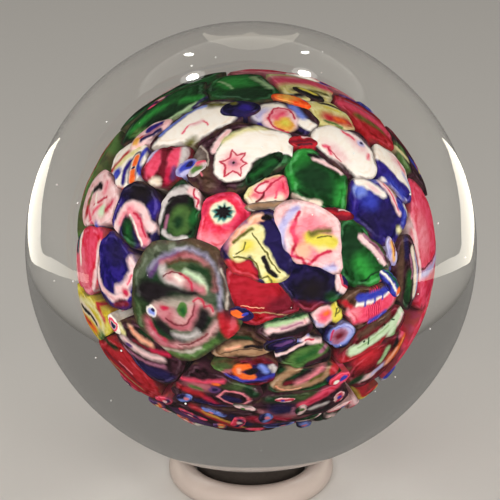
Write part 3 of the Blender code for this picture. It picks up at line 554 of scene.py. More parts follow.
        path([(-42, 2), (-12, -8), (16, -10)], 2.5, "mauve", 0.7), spot(-32, 10, 6, 3.5, "violet", 0.4),
        path([(-24, 36), (-10, 26), (6, 22)], 4, "peach", 0.6),
        path([(-44, 32), (-38, 26)], 4.5, "cream", 0.4), path([(-6, 36), (10, 32)], 4, "dark_green", 0.5),
        path([(6, 14), (28, 12)], 3.5, "crimson", 0.7), path([(-20, 19), (0, 14)], 2, "maroon", 0.7)]),
    "red_slant_cane": ("red", [
        path([(-7, 26), (24, 14), (28, -14)], 9, "red", 0.6),
        path([(-26, 12), (6, 2), (18, -20)], 3.5, "maroon", 0.7),
        path([(-16, 34), (18, 30)], 4, "dark_green", 0.6),
        path([(-30, -4), (-4, -14), (6, -32)], 3, "tan", 0.8),
        path([(-34, -20), (-14, -34)], 5, "crimson", 0.8), path([(6, 8), (20, -6)], 1.4, "pink", 0.8)]),
    "green_strip_cane": ("plum", [
        path([(4, 44), (-14, 20), (-20, -24)], 5, "brown", 0.5), path([(0, 24), (6, 42)], 5, "navy", 0.5),
        path([(-2, -26), (1, -12), (2, 0)], 6.5, "green", 0.5),
        path([(-4, -34), (-2, -20)], 5, "dark_green", 0.5),
        path([(15, 26), (16, 4), (17, -11), (15, -28)], 4, "ivory", 0.35),
        path([(22, 18), (23, -10), (20, -34)], 2.5, "lavender", 0.6),
        path([(8, 22), (8, -4)], 2, "mauve", 0.6)]),
    "violet_under_cane": ("plum", [
        path([(6, 46), (18, 24), (24, -13)], 5.5, "red", 0.5),
        path([(14, 36), (26, 16), (32, -12)], 3.5, "amber", 0.6),
        path([(42, 22), (44, -6)], 5, "navy", 0.5), path([(58, 8), (64, -16)], 6, "crimson", 0.6),
        spot(-26, 0, 18, 26, "violet", 0.6), path([(-46, 22), (-36, -18)], 5, "dark_green", 0.6)]),
    "cobalt_rear_cane": ("rose", [
        casing(0.95, 0.14, "pink"), spot(0, 0, 30, 28, "white", 0.08), spot(0, 0, 24, 22, "sky", 0.3),
        spot(0, 0, 17, 16, "white", 0.1, 0, 8, 0.2), line(0, 0, 19, 18, "crimson", 0.08, 0, 8, 0.2),
        spot(0, 0, 6, 6, "red", 0.2), spot(-36, 24, 12, 8, "blue", 0.5)]),
    "white_rear_cane": ("dark_green", [
        casing(0.95, 0.12, "green"), spot(4, 2, 30, 27, "white", 0.1), spot(4, 2, 26, 22, "blush", 0.5),
        line(4, 2, 22, 18, "crimson", 0.08, 0, 6, 0.2), spot(4, 2, 13, 11, "rose", 0.2, 0, 6, 0.2),
        spot(4, 2, 5, 5, "navy", 0.2), spot(-34, -18, 12, 16, "lavender", 0.5)]),
    "red_rear_cane": ("crimson", [
        spot(0, 4, 30, 24, "rose", 0.5, -20), bars(0, 0, 44, 36, "maroon", 4, 60, 0.5),
        spot(14, -16, 13, 11, "cream", 0.15), spot(14, -16, 7, 6, "green", 0.2, 0, 5, 0.2),
        spot(-26, 26, 12, 5, "white", 0.3, 20)]),
    "green_rear_cane": ("green", [
        spot(-6, 2, 32, 26, "dark_green", 0.5, 10), spot(20, -18, 14, 22, "bright_green", 0.6, 20),
        spot(-22, 22, 13, 9, "white"), spot(-22, 22, 8, 5, "red", 0.2, 0, 5, 0.2),
        line(0, 0, 42, 38, "pale_green", 0.06, 0, 5, 0.06)]),
    "pink_rear_cane": ("red", [
        casing(0.95, 0.12, "leaf"), spot(6, -4, 30, 28, "rose", 0.5), spot(2, 6, 19, 18, "white", 0.1),
        spot(2, 6, 12, 12, "teal", 0.15, 0, 9, 0.2), spot(2, 6, 8, 8, "black", 0.1, 0, 9, 0.25),
        spot(-34, -20, 16, 10, "blush", 0.4, 30)]),
    "amber_rear_cane": ("amber", [
        bars(0, 0, 44, 34, "cream", 5, 20, 0.4), line(0, 0, 26, 22, "red", 0.1, 0, 5, 0.15),
        spot(0, 0, 14, 12, "navy", 0.15, 0, 6, 0.15), spot(0, 0, 5, 5, "orange", 0.3)]),
    "navy_rear_cane": ("navy", [
        spot(12, 10, 22, 16, "cobalt", 0.6), spot(-6, -18, 28, 22, "blush", 0.08),
        spot(-6, -20, 22, 18, "crimson", 0.1), spot(-6, -22, 17, 14, "dark_green", 0.2)]),
    "mint_rear_cane": ("rose", [
        bars(0, 0, 48, 42, "maroon", 5, 40, 0.6), spot(-16, 10, 22, 16, "orange", 0.5, 20),
        line(-16, 10, 15, 10, "maroon", 0.12, 20), spot(24, -14, 14, 12, "mint", 0.3),
        spot(24, -14, 6, 5, "violet", 0.3)]),
    "crimson_under_cane": ("crimson", [
        bars(0, 0, 54, 46, "plum", 5, 30, 0.5), spot(14, 10, 18, 14, "blush", 0.15),
        spot(14, 10, 11, 9, "blue", 0.2, 0, 6, 0.15), spot(-24, -14, 16, 10, "yellow", 0.4, 20)]),
}

# Small chips of cane between the large ones: name, latitude, longitude, half length, half width, turn,
# colour, marks
CHIPS = (
    ("chip_lavender_oval", 50, -42, 16, 9.5, 60, "lavender", [
        spot(1, 1, 12, 6, "blue", 0.3, 60), spot(3, 5, 5, 3, "navy", 0.3, 60)]),
    ("chip_pale_oval", 51, -35, 15, 9, 65, "pale_grey", [
        spot(0, -2, 8, 5, "leaf", 0.4, 65), path([(-3, 6), (5, 12)], 3, "rose", 0.7)]),
    ("chip_orange_strip", 77, 98, 24, 9, 75, "orange", [
        spot(0, 6, 8, 9, "amber", 0.7), spot(5, -19, 5, 6, "blue", 0.5)]),
    ("chip_navy_top", 82, -40, 24, 15, 40, "navy", [
        spot(6, 2, 8, 6, "cobalt", 0.5), spot(-12, 3, 5, 4, "olive", 0.4)]),
    ("chip_green_arm", 54, 6, 36, 10.5, 38, "dark_green", [
        path([(-16, -12), (12, 8)], 3, "green", 0.9)]),
    ("chip_white_tip", 51, -88, 29, 13, 84, "blush", [
        path([(-3, 1), (0, 15)], 5.5, "cobalt", 0.2), path([(7, -12), (10, 14)], 3, "navy", 0.4),
        path([(4, -6), (5, 18)], 1.8, "mauve", 0.7), spot(0, -19, 8, 5, "amber", 0.4),
        spot(2, -11, 2.5, 4, "red", 0.5)]),
    ("chip_orange_blue", -2, -5, 17, 9, -15, "navy", [
        spot(-4, 0, 9, 5, "orange", 0.2, -15), spot(5, 0, 4, 3, "blue", 0.3)]),
    ("chip_white_bead", -17, -62, 13, 9, -60, "white", [
        spot(0, 0, 6, 4, "navy", 0.3, -60), line(0, 0, 8, 6, "rose", 0.2, -60)]),
    ("chip_navy_violet", -15, 10, 22, 9, 12, "navy", [
        spot(4, 2, 12, 3, "violet", 0.4, 12), line(0, 0, 19, 7, "black", 0.1, 12)]),
    ("chip_red_blue", -36, 40, 14, 11, 20, "rose", [
        spot(3, 2, 5, 5, "blue", 0.3), spot(-5, -3, 4, 4, "white", 0.3)]),
    ("chip_black_green", 69, 118, 20, 9, 50, "black", [
        spot(2, 0, 11, 4, "yellow", 0.3, 50)]),
    ("chip_grey_band", 38.7, 8.5, 36, 6.2, 1, "grey", [
        path([(-34, 1), (0, 1.5), (34, 1)], 2.6, "tan", 0.9), spot(26, 0, 12, 4, "moss", 0.8)]),
    ("chip_blue_stripes", 0, 57.8, 27, 9.5, -52, "blue", [
        path([(-17, 20), (2, -2), (16, -22)], 1.6, "white", 0.6),
        path([(-12, 24), (8, 0), (21, -19)], 2, "green", 0.7),
        path([(-21, 16), (-4, -6)], 1.8, "navy", 0.6), spot(14, -14, 4, 5, "orange", 0.5, -50)]),
    ("chip_lavender_amber", 11.2, 60.6, 19, 8, 95, "lavender", [
        path([(1, 11), (0, -10)], 3.4, "amber", 0.6), path([(3, 13), (3, -6)], 1, "maroon", 0.6)]),
    ("chip_red_gap", 62.1, 41, 20, 9, -24, "red", [
        path([(-16, 6), (0, 0), (16, -6)], 2.2, "maroon", 0.7),
        path([(-10, -2), (8, -8)], 1.4, "plum", 0.7), path([(2, 6), (14, 1)], 1.2, "blush", 0.8)]),
    ("chip_maroon_gap", 31.8, 38, 26, 7.5, -22, "maroon", [
        path([(-22, 8), (-4, 2), (18, -6)], 2, "red", 0.8), spot(-18, 4, 8, 4, "dark_green", 0.6, -20),
        path([(4, 4), (19, -3)], 1, "blush", 0.7)]),
    ("chip_peach_sliver", 35, 5.8, 27, 6.2, 14, "navy", [
        path([(-24, -5), (-10, -1)], 5, "peach", 0.4), path([(9, 2), (25, 6)], 4.2, "white", 0.4),
        path([(-5, -1), (8, 1.5)], 3.4, "black", 0.4), path([(-26, -8), (-6, -5)], 1.2, "olive", 0.6)]),
)

# Scattered chips: colour of the chip, of its stroke and of its spot
SCATTER_COLOURS = (
    ("rose", "navy", "blush"), ("navy", "sky", "pink"), ("dark_green", "blush", "leaf"),
    ("blush", "crimson", "blue"), ("red", "yellow", "black"), ("blue", "white", "crimson"),
    ("white", "rose", "green"), ("violet", "orange", "cream"),
)


# ---------------------------------------------------------------- shader nodes

def add_node(tree, kind, inputs=(), **settings):
    """Add a node; inputs holds pairs of an input's name or number and the socket or value for it."""
    node = tree.nodes.new("ShaderNode" + kind)
    for name, value in settings.items():
        setattr(node, name, value)
    for name, value in inputs:
        if isinstance(value, bpy.types.NodeSocket):
            tree.links.new(value, node.inputs[name])
        elif value is not None:
            node.inputs[name].default_value = value
    return node


def calc(tree, operation, first, second=None):
    """Result of a Math node on sockets or numbers."""
    return add_node(tree, "Math", ((0, first), (1, second)), operation=operation).outputs[0]


def vector_calc(tree, operation, *values):
    """Result of a Vector Math node on sockets or vectors."""
    node = add_node(tree, "VectorMath", enumerate(values), operation=operation)
    return node.outputs["Value" if operation in ("DOT_PRODUCT", "DISTANCE") else "Vector"]


def smooth_drop(tree, value, start, end):
    """1 below start, 0 above end, smooth between."""
    inputs = (("Value", value), ("From Min", start), ("From Max", end), ("To Min", 1.0), ("To Max", 0.0))
    return add_node(tree, "MapRange", inputs, interpolation_type="SMOOTHSTEP").outputs["Result"]


def noise_node(tree, point, scale, detail, roughness=0.5):
    """A noise texture read at a point."""
    inputs = (("Scale", scale), ("Detail", detail), ("Roughness", roughness), ("Vector", point))
    return add_node(tree, "TexNoise", inputs)


def cloud(tree, point, scale, detail, roughness=0.5):
    """Plain noise value at a point."""
    return noise_node(tree, point, scale, detail, roughness).outputs["Fac"]


def mix_colour(tree, factor, below, above, blend_type="MIX"):
    """Mix two colours; each is a socket or a colour."""
    inputs = (("Factor", factor), ("A", below), ("B", above))
    return add_node(tree, "Mix", inputs, data_type="RGBA", blend_type=blend_type).outputs["Result"]


def toned(tree, colour, gamma):
    """A paler (gamma below 1) or deeper (gamma above 1) form of a colour."""
    return add_node(tree, "Gamma", (("Gamma", gamma), ("Color", colour))).outputs["Color"]


def object_point(tree):
    """The point being shaded, in the object's own frame."""
    return add_node(tree, "TexCoord").outputs["Object"]


def shifted_point(tree, point, scale, amount, detail):
    """The point moved about by noise, so that drawn edges flow like molten glass."""
    wander = noise_node(tree, point, scale, detail).outputs["Color"]
    centred = vector_calc(tree, "SUBTRACT", wander, (0.5, 0.5, 0.5))
    return vector_calc(tree, "MULTIPLY_ADD", centred, (amount, amount, amount), point)


def new_group(name, sockets, result_name, result_type):
    """An empty node group: its tree, its inputs and its result."""
    tree = bpy.data.node_groups.new(name, "ShaderNodeTree")
    for socket_name, socket_type in sockets:
        tree.interface.new_socket(socket_name, in_out="INPUT", socket_type="NodeSocket" + socket_type)
    tree.interface.new_socket(result_name, in_out="OUTPUT", socket_type="NodeSocket" + result_type)
    given = tree.nodes.new("NodeGroupInput").outputs
    return tree, given, tree.nodes.new("NodeGroupOutput").inputs[result_name]


def segment_group():
    """Node group for the distance from a point to a straight piece of a path."""
    sockets = (("Point", "Vector"), ("Start", "Vector"), ("End", "Vector"))
    tree, given, result = new_group("segment_distance", sockets, "Distance", "Float")
    from_start = vector_calc(tree, "SUBTRACT", given["Point"], given["Start"])
    whole = vector_calc(tree, "SUBTRACT", given["End"], given["Start"])
    gone = vector_calc(tree, "DOT_PRODUCT", from_start, whole)
    full = vector_calc(tree, "DOT_PRODUCT", whole, whole)
    share = calc(tree, "DIVIDE", gone, full)
    share = calc(tree, "MINIMUM", calc(tree, "MAXIMUM", share, 0.0), 1.0)
    nearest = add_node(tree, "VectorMath", ((0, whole), ("Scale", share)), operation="SCALE")
    tree.links.new(vector_calc(tree, "DISTANCE", from_start, nearest.outputs["Vector"]), result)
    return tree


def mark_group(kind):
    """Node group that lays one mark over the colour below it."""
    sockets = (("Point", "Vector"), ("Below", "Color"), ("Colour", "Color"), ("Place", "Vector"),
               ("Turn", "Vector"), ("Size", "Vector"), ("Edge", "Float"), ("Lobes", "Float"),
               ("Depth", "Float"))
    tree, given, result = new_group("mark_" + kind, sockets, "Colour", "Color")
    edge = given["Edge"]
    inputs = (("Vector", given["Point"]), ("Location", given["Place"]), ("Rotation", given["Turn"]),
              ("Scale", given["Size"]))
    local = add_node(tree, "Mapping", inputs, vector_type="TEXTURE")
    split = add_node(tree, "SeparateXYZ", (("Vector", local.outputs["Vector"]),))
    across, along = split.outputs["X"], split.outputs["Y"]
    squares = [calc(tree, "MULTIPLY", part, part) for part in (across, along)]
    distance = calc(tree, "SQRT", calc(tree, "ADD", *squares))
    if kind == "bars":
        inside = smooth_drop(tree, distance, 0.85, 1.1)
        turns = calc(tree, "MULTIPLY", calc(tree, "MULTIPLY", along, pi), given["Lobes"])
        wave = calc(tree, "COSINE", turns)
        stripe = smooth_drop(tree, wave, calc(tree, "MULTIPLY", edge, -1.0), edge)
        mask = calc(tree, "MULTIPLY", inside, stripe)
    else:
        angle = calc(tree, "ARCTAN2", along, across)
        petals = calc(tree, "COSINE", calc(tree, "MULTIPLY", angle, given["Lobes"]))
        swell = calc(tree, "ADD", calc(tree, "MULTIPLY", petals, given["Depth"]), 1.0)
        distance = calc(tree, "DIVIDE", distance, swell)
        if kind == "spot":
            start, end = calc(tree, "SUBTRACT", 1.0, edge), calc(tree, "ADD", 1.0, edge)
            mask = smooth_drop(tree, distance, start, end)
        else:
            off_line = calc(tree, "ABSOLUTE", calc(tree, "SUBTRACT", distance, 1.0))
            start, end = calc(tree, "MULTIPLY", edge, 0.5), calc(tree, "MULTIPLY", edge, 1.4)
            mask = smooth_drop(tree, off_line, start, end)
    tree.links.new(mix_colour(tree, mask, given["Below"], given["Colour"]), result)
    return tree


SEGMENT_GROUP = segment_group()
MARK_GROUPS = {kind: mark_group(kind) for kind in ("spot", "line", "bars")}


# ---------------------------------------------------------------- coloured glass of the canes

def rounded(points):
    """The points of a path with one more between each two, on a smooth curve."""
    if len(points) < 3:
        return points
    ends = [points[0]] + list(points) + [points[-1]]
    smooth = [points[0]]
    for before, start, end, after in zip(ends, ends[1:], ends[2:], ends[3:]):
        middle = [(9 * (start[axis] + end[axis]) - before[axis] - after[axis]) / 16 for axis in (0, 1)]
        smooth += [tuple(middle), end]
    return smooth


def path_distance(tree, point, points):
    """Distance from a point to the nearest piece of a path."""
    nearest = None
    for start, end in zip(points, points[1:]):
        inputs = (("Point", point), ("Start", (*start, 0.0)), ("End", (*end, 0.0)))
        distance = add_node(tree, "Group", inputs, node_tree=SEGMENT_GROUP).outputs["Distance"]
        nearest = distance if nearest is None else calc(tree, "MINIMUM", nearest, distance)
    return nearest


def draw_mark(tree, mark, flowing, flat, rim, below):
    """Lay one mark over the colour below it."""
    colour = linear(mark["colour"])
    if mark["kind"] == "casing":
        off_band = calc(tree, "ABSOLUTE", calc(tree, "SUBTRACT", rim, mark["share"]))
        band = smooth_drop(tree, off_band, mark["width"] * 0.6, mark["width"] * 1.3)
        return mix_colour(tree, band, below, colour)
    if mark["kind"] == "path":
        distance = path_distance(tree, flat, rounded(mark["points"]))
        width, spread = mark["width"], mark["width"] * mark["soft"] * PATH_SPREAD
        return mix_colour(tree, smooth_drop(tree, distance, width - spread, width + spread), below, colour)
    inputs = (("Point", flowing), ("Below", below), ("Colour", colour), ("Place", (*mark["place"], 0.0)),
              ("Turn", (0.0, 0.0, radians(mark["turn"]))), ("Size", (*mark["size"], MARK_HEIGHT)),
              ("Edge", mark["Edge"]), ("Lobes", mark["Lobes"]), ("Depth", mark["Depth"]))
    return add_node(tree, "Group", inputs, node_tree=MARK_GROUPS[mark["kind"]]).outputs["Colour"]


def new_material(name):
    """An empty Principled material: the material, its tree and its shader."""
    material = bpy.data.materials.new(name)
    material.use_nodes = True
    tree = material.node_tree
    return material, tree, tree.nodes["Principled BSDF"]


def finish_shader(tree, shader, colour, roughness, specular=None):
    """Give a shader its colour, its roughness and, where it isn't the usual one, its shine."""
    tree.links.new(colour, shader.inputs["Base Color"])
    shader.inputs["Roughness"].default_value = roughness
    if specular is not None:
        shader.inputs["Specular IOR Level"].default_value = specular


def edge_share(tree, point):
    """Share of the way from a cane's middle to its edge, with a wandering line."""
    stored = add_node(tree, "Attribute", (), attribute_name="edge_share").outputs["Fac"]
    wander = calc(tree, "SUBTRACT", cloud(tree, point, 0.8, 2.0), 0.5)
    return calc(tree, "ADD", stored, calc(tree, "MULTIPLY", wander, 0.22))


def feathered_edge(tree, point, rim, colour):
    """A pale line and a deep line that come and go just inside the edge of a cane."""
    for share, width, scale, threshold, strength, gamma in EDGE_LINES:
        off_line = calc(tree, "ABSOLUTE", calc(tree, "SUBTRACT", rim, share))
        stroke = smooth_drop(tree, off_line, width * 0.4, width * 1.8)
        shown = smooth_drop(tree, cloud(tree, point, scale, 1.0), threshold - 0.06, threshold + 0.06)
        amount = calc(tree, "MULTIPLY", calc(tree, "MULTIPLY", stroke, shown), strength)
        colour = mix_colour(tree, amount, colour, toned(tree, colour, gamma))
    return colour


def streaked(tree, point, colour):
    """Colour with deeper and paler streaks, as drawn glass has."""
    inputs = (("Scale", (0.8, 1.7, 1.0)), ("Rotation", (0.0, 0.0, 0.7)), ("Vector", point))
    drawn = add_node(tree, "Mapping", inputs).outputs["Vector"]
    deep = smooth_drop(tree, cloud(tree, drawn, 0.9, 2.0), 0.36, 0.60)
    squared = mix_colour(tree, 1.0, colour, colour, "MULTIPLY")
    colour = mix_colour(tree, calc(tree, "MULTIPLY", deep, 0.40), colour, squared)
    pale = smooth_drop(tree, cloud(tree, drawn, 0.7, 3.0, 0.6), 0.34, 0.50)
    return mix_colour(tree, calc(tree, "MULTIPLY", pale, 0.5), colour, toned(tree, colour, 0.86))


def darkened_gap(tree, point, tone, rim, colour):
    """Plum and brown glass showing in patches along the very edge of a cane."""
    gap = smooth_drop(tree, rim, 1.0, 0.90)
    patches = calc(tree, "MULTIPLY", smooth_drop(tree, cloud(tree, point, 0.30, 1.0), 0.42, 0.60), 0.65)
    gap_colour = mix_colour(tree, smooth_drop(tree, tone, 0.42, 0.58), linear("plum"), linear("brown"))
    return mix_colour(tree, calc(tree, "MULTIPLY", gap, patches), colour, gap_colour)


def cane_material(name, place, base, marks):
    """Coloured glass with its marks; place is the cane's own frame, where the marks are in millimetres."""
    material, tree, shader = new_material(name)
    inputs = (("Location", place.to_translation()), ("Rotation", place.to_euler()), ("Scale", (MM, MM, MM)),
              ("Vector", object_point(tree)))
    flowing = add_node(tree, "Mapping", inputs, vector_type="TEXTURE").outputs["Vector"]
    for scale, amount in FLOWS:
        flowing = shifted_point(tree, flowing, scale, amount, 1.0)
    flat = vector_calc(tree, "MULTIPLY", flowing, (1.0, 1.0, 0.0))
    rim = edge_share(tree, flowing)
    tone = cloud(tree, flowing, 0.9, 3.0)
    deep = tuple(channel ** 1.5 for channel in linear(base)[:3])
    colour = mix_colour(tree, smooth_drop(tree, tone, 0.38, 0.60), linear(base), (*deep, 1.0))
    for mark in marks:
        colour = draw_mark(tree, mark, flowing, flat, rim, colour)
    colour = feathered_edge(tree, flowing, rim, colour)
    colour = streaked(tree, flowing, colour)
    finish_shader(tree, shader, darkened_gap(tree, flowing, tone, rim, colour), 0.45, 0.0)
    return material


# ---------------------------------------------------------------- other materials

def core_material():
    """Dark plum glass with ash-grey and brown streaks, seen in the gaps between canes."""
    material, tree, shader = new_material("core_plum_glass")
    flowing = shifted_point(tree, object_point(tree), 320.0, 0.0012, 2.0)
    streaks = smooth_drop(tree, cloud(tree, flowing, 420.0, 3.0), 0.42, 0.58)
    specks = smooth_drop(tree, cloud(tree, flowing, 900.0, 2.0), 0.32, 0.40)
    colour = mix_colour(tree, streaks, linear("brown"), linear("plum"))
    finish_shader(tree, shader, mix_colour(tree, specks, colour, linear("grey")), 0.5, 0.1)
    return material


def clear_glass_material():
    """Clear glass; shadow rays pass straight through so that lamps reach the canes."""
    material, tree, shader = new_material("clear_glass")
    tint = mix_colour(tree, cloud(tree, object_point(tree), 60.0, 2.0),
                      (0.965, 0.965, 0.945, 1.0), (0.995, 0.995, 0.985, 1.0))
    finish_shader(tree, shader, tint, 0.0)
    shader.inputs["Transmission Weight"].default_value = 1.0
    shader.inputs["IOR"].default_value = GLASS_INDEX
    is_shadow = add_node(tree, "LightPath").outputs["Is Shadow Ray"]
    passing = add_node(tree, "BsdfTransparent").outputs["BSDF"]
    choice = add_node(tree, "MixShader", (("Fac", is_shadow), (1, shader.outputs["BSDF"]), (2, passing)))
    tree.links.new(choice.outputs["Shader"], tree.nodes["Material Output"].inputs["Surface"])
    return material


def add_bump(tree, shader, height, strength, distance):
    """Fine relief from a noise value."""
    bump = add_node(tree, "Bump", (("Strength", strength), ("Distance", distance), ("Height", height)))
    tree.links.new(bump.outputs["Normal"], shader.inputs["Normal"])


def ring_material():
    """Warm off-white moulded ring with faint mottling and fine scuffs."""
    material, tree, shader = new_material("ring_off_white")
    point = object_point(tree)
    colour = mix_colour(tree, cloud(tree, point, 180.0, 4.0),
                        (0.345, 0.28, 0.245, 1.0), (0.43, 0.36, 0.315, 1.0))
    scuff = cloud(tree, point, 1400.0, 3.0)
    rough = add_node(tree, "MapRange", (("To Min", 0.28), ("To Max", 0.46), ("Value", scuff)))
    finish_shader(tree, shader, colour, 0.5)
    tree.links.new(rough.outputs["Result"], shader.inputs["Roughness"])
    add_bump(tree, shader, scuff, 0.12, 0.2 * MM)
    return material


def seat_material():
    """Near-black seat with a fine grain; its black is painted shade, for the shadowed hollow under the
    ball.
    """
    material, tree, shader = new_material("seat_black_painted_shade")
    grain = cloud(tree, object_point(tree), 2600.0, 3.0)
    # painted shade: near-black colour for the shadowed hollow under the ball, varied at random by the grain
    colour = mix_colour(tree, grain, (0.010, 0.008, 0.007, 1.0), (0.035, 0.027, 0.022, 1.0))
    finish_shader(tree, shader, colour, 0.6)
    add_bump(tree, shader, grain, 0.3, 0.1 * MM)
    return material


def bubble_material():
    """Bright skin of a trapped seed bubble."""
    material, tree, shader = new_material("seed_bubble")
    sheen = cloud(tree, object_point(tree), 3000.0, 2.0)
    colour = mix_colour(tree, sheen, (0.75, 0.76, 0.72, 1.0), (1.0, 1.0, 0.98, 1.0))
    finish_shader(tree, shader, colour, 0.15)
    return material


def floor_material():
    """Plain pale floor."""
    material, _, shader = new_material("pale_floor")
    shader.inputs["Base Color"].default_value = (0.66, 0.64, 0.605, 1.0)
    shader.inputs["Roughness"].default_value = 0.55
    return material


def reflector_material(name, strength):
    """Glowing cloth, a little uneven."""
    material, tree, shader = new_material(name)
    glow = mix_colour(tree, cloud(tree, object_point(tree), 40.0, 2.0),
                      (0.86, 0.78, 0.62, 1.0), (1.0, 0.96, 0.86, 1.0))
    tree.links.new(glow, shader.inputs["Emission Color"])
    shader.inputs["Emission Strength"].default_value = strength
    shader.inputs["Base Color"].default_value = (0.0, 0.0, 0.0, 1.0)
    return material


# ---------------------------------------------------------------- shapes

def add_object(name, data, body=None):
    """An object in the scene, which rides on a body if one is named."""
    made = bpy.data.objects.new(name, data)
    bpy.context.scene.collection.objects.link(made)
    if body:
        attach(made, body)
    return made


def new_piece(name, vertices, faces, material, body=None):
    """A smooth mesh object."""
    mesh = bpy.data.meshes.new(name)
    mesh.from_pydata(vertices, [], faces)
    tidy_mesh(mesh, weld=False)
    mesh.materials.append(material)
    return add_object(name, mesh, body)


def tidy_mesh(mesh, weld):
    """Turn every face outwards and shade it smooth; weld joins points that lie together."""
    shell = bmesh.new()
    shell.from_mesh(mesh)
    if weld:
        bmesh.ops.remove_doubles(shell, verts=shell.verts, dist=1e-7)
    bmesh.ops.recalc_face_normals(shell, faces=shell.faces)
    shell.to_mesh(mesh)
    shell.free()
    mesh.shade_smooth()


def turned_piece(name, profile, segments, material, body, nodes, sharp=None, move=None):
    """A solid of revolution that stands for CAD nodes; an edge over sharp degrees stays hard."""
    vertices, faces = turned_solid(profile, segments)
    if move:
        vertices = [move(Vector(vertex)) for vertex in vertices]
    piece = new_piece(name, vertices, faces, material, body)
    if profile[0] == profile[-1]:
        tidy_mesh(piece.data, weld=True)
    if sharp:
        piece.data.set_sharp_from_angle(angle=radians(sharp))
    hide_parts(*nodes)


def turned_solid(profile, segments):
    """Closed solid of revolution; a profile point with radius 0 is a pole."""
    vertices, rows = [], []
    for radius, height in profile:
        if radius == 0.0:
            rows.append([len(vertices)] * segments)
            vertices.append((0.0, 0.0, height))
            continue
        rows.append(list(range(len(vertices), len(vertices) + segments)))
        for step in range(segments):
            angle = 2 * pi * step / segments
            vertices.append((radius * cos(angle), radius * sin(angle), height))
    faces = []
    for near, far in zip(rows, rows[1:]):
        for step in range(segments):
            following = (step + 1) % segments
            corners = (near[step], far[step], far[following], near[following])
            faces.append(tuple(dict.fromkeys(corners)))
    return vertices, faces


def ball_direction(latitude, longitude):
    """Direction from the middle, in degrees north of the equator and east of the front."""
    north, east = radians(latitude), radians(longitude)
    return Vector((cos(north) * sin(east), -cos(north) * cos(east), sin(north)))


def local_frame(direction):
    """Frame of a cane on the cluster: x east, y north, z outward."""
    outward = direction.normalized()
    east = Vector((0.0, 0.0, 1.0)).cross(outward).normalized()
    north = outward.cross(east)
    return Matrix((east, north, outward)).transposed()


def cane_shape(node):
    """Middle direction, crown radius, floor radius and edge directions of a cane's CAD solid."""
    points = {}
    for vertex in node.data.vertices:
        offset = vertex.co - CLUSTER_CENTRE
        points[tuple(round(value, 7) for value in offset)] = offset
    offsets = sorted(points.values(), key=lambda offset: offset.length)
    crown = offsets[-1]
    floor_radius = offsets[0].length
    floor_points = [offset for offset in offsets if offset.length < floor_radius + FLOOR_BAND]
    edges = [offset.normalized() for offset in floor_points if offset.angle(crown) > radians(1)]
    return crown.normalized(), crown.length, floor_radius, edges


def edge_reach(axes, edges):
    """Edge points of a cane as (bearing, leaning angle) in order of bearing."""
    reach = []
    for edge in edges:
        local = axes.transposed() @ edge
        reach.append((atan2(local.y, local.x), edge.angle(axes.col[2])))
    return sorted(reach)


def smooth_reach(reach, bearing):
    """Leaning angle at any bearing, on a smooth closed curve through the edge points."""
    count = len(reach)
    for index in range(count):
        start = reach[index][0]
        end = reach[(index + 1) % count][0]
        span = (end - start) % (2 * pi)
        into = (bearing - start) % (2 * pi)
        if into <= span:
            share = into / span
            before, first, last, after = (reach[(index + shift) % count][1] for shift in (-1, 0, 1, 2))
            slope_first = (last - before) / 2
            slope_last = (after - first) / 2
            cube, square = share ** 3, share ** 2
            return (first * (2 * cube - 3 * square + 1) + last * (3 * square - 2 * cube)
                    + slope_first * (cube - 2 * square + share) + slope_last * (cube - square))
    return reach[0][1]


def pillow(axes, reach, crown_radius, floor_radius, lift, margin, drop, wander):
    """Rounded cane piece: domed crown with gentle relief, rolled edge and sides down to the core."""
    outward = axes.col[2]
    spread = []
    for step in range(OUTLINE_POINTS):
        bearing = 2 * pi * step / OUTLINE_POINTS - pi
        sideways = axes.col[0] * cos(bearing) + axes.col[1] * sin(bearing)
        bulge = noise.noise(sideways * OUTLINE_WAVES + outward * 9.0) * wander
        spread.append((sideways, smooth_reach(reach, bearing) + (margin + bulge) / crown_radius))
    vertices = [CLUSTER_CENTRE + outward * (crown_radius + lift)]
    shares = [0.0]
    for ring in range(1, DOME_RINGS + 1):
        share = sin(ring / DOME_RINGS * pi / 2)
        shares += [share] * OUTLINE_POINTS
        for sideways, angle in spread:
            direction = outward * cos(angle * share) + sideways * sin(angle * share)
            relief = noise.noise(direction * RELIEF_WAVES + outward * 5.0) * CANE_RELIEF
            radius = crown_radius + lift + relief - drop * share ** 6
            vertices.append(CLUSTER_CENTRE + direction * radius)
    for side_share, radius_share in SIDE_RINGS:
        radius = floor_radius + (crown_radius - drop - floor_radius) * radius_share
        for sideways, angle in spread:
            direction = outward * cos(angle * side_share) + sideways * sin(angle * side_share)
            vertices.append(CLUSTER_CENTRE + direction * radius)
    vertices.append(CLUSTER_CENTRE + outward * floor_radius)
    shares += [1.0] * (len(vertices) - len(shares))
    return vertices, pillow_faces(DOME_RINGS + len(SIDE_RINGS)), shares


def pillow_faces(ring_count):
    """Faces between the crown point, the rings and the floor point."""
    last = 1 + ring_count * OUTLINE_POINTS
    faces = []
    for step in range(OUTLINE_POINTS):
        following = (step + 1) % OUTLINE_POINTS
        faces.append((0, 1 + step, 1 + following))
        for ring in range(ring_count - 1):
            near = 1 + ring * OUTLINE_POINTS
            far = near + OUTLINE_POINTS
            faces.append((near + step, far + step, far + following, near + following))
        bottom = last - OUTLINE_POINTS
        faces.append((bottom + step, last, bottom + following))
    return faces


def cane_piece(name, label, axes, crown_radius, shape, base, marks):
    """A patterned cane piece that knows how far each point is towards its edge."""
    place = Matrix.Translation(CLUSTER_CENTRE + axes.col[2] * crown_radius) @ axes.to_4x4()
    vertices, faces, shares = shape
    piece = new_piece(name, vertices, faces, cane_material(label + "_glass", place, base, marks), "weight")
    stored = piece.data.attributes.new("edge_share", "FLOAT", "POINT")
    stored.data.foreach_set("value", shares)
    return piece


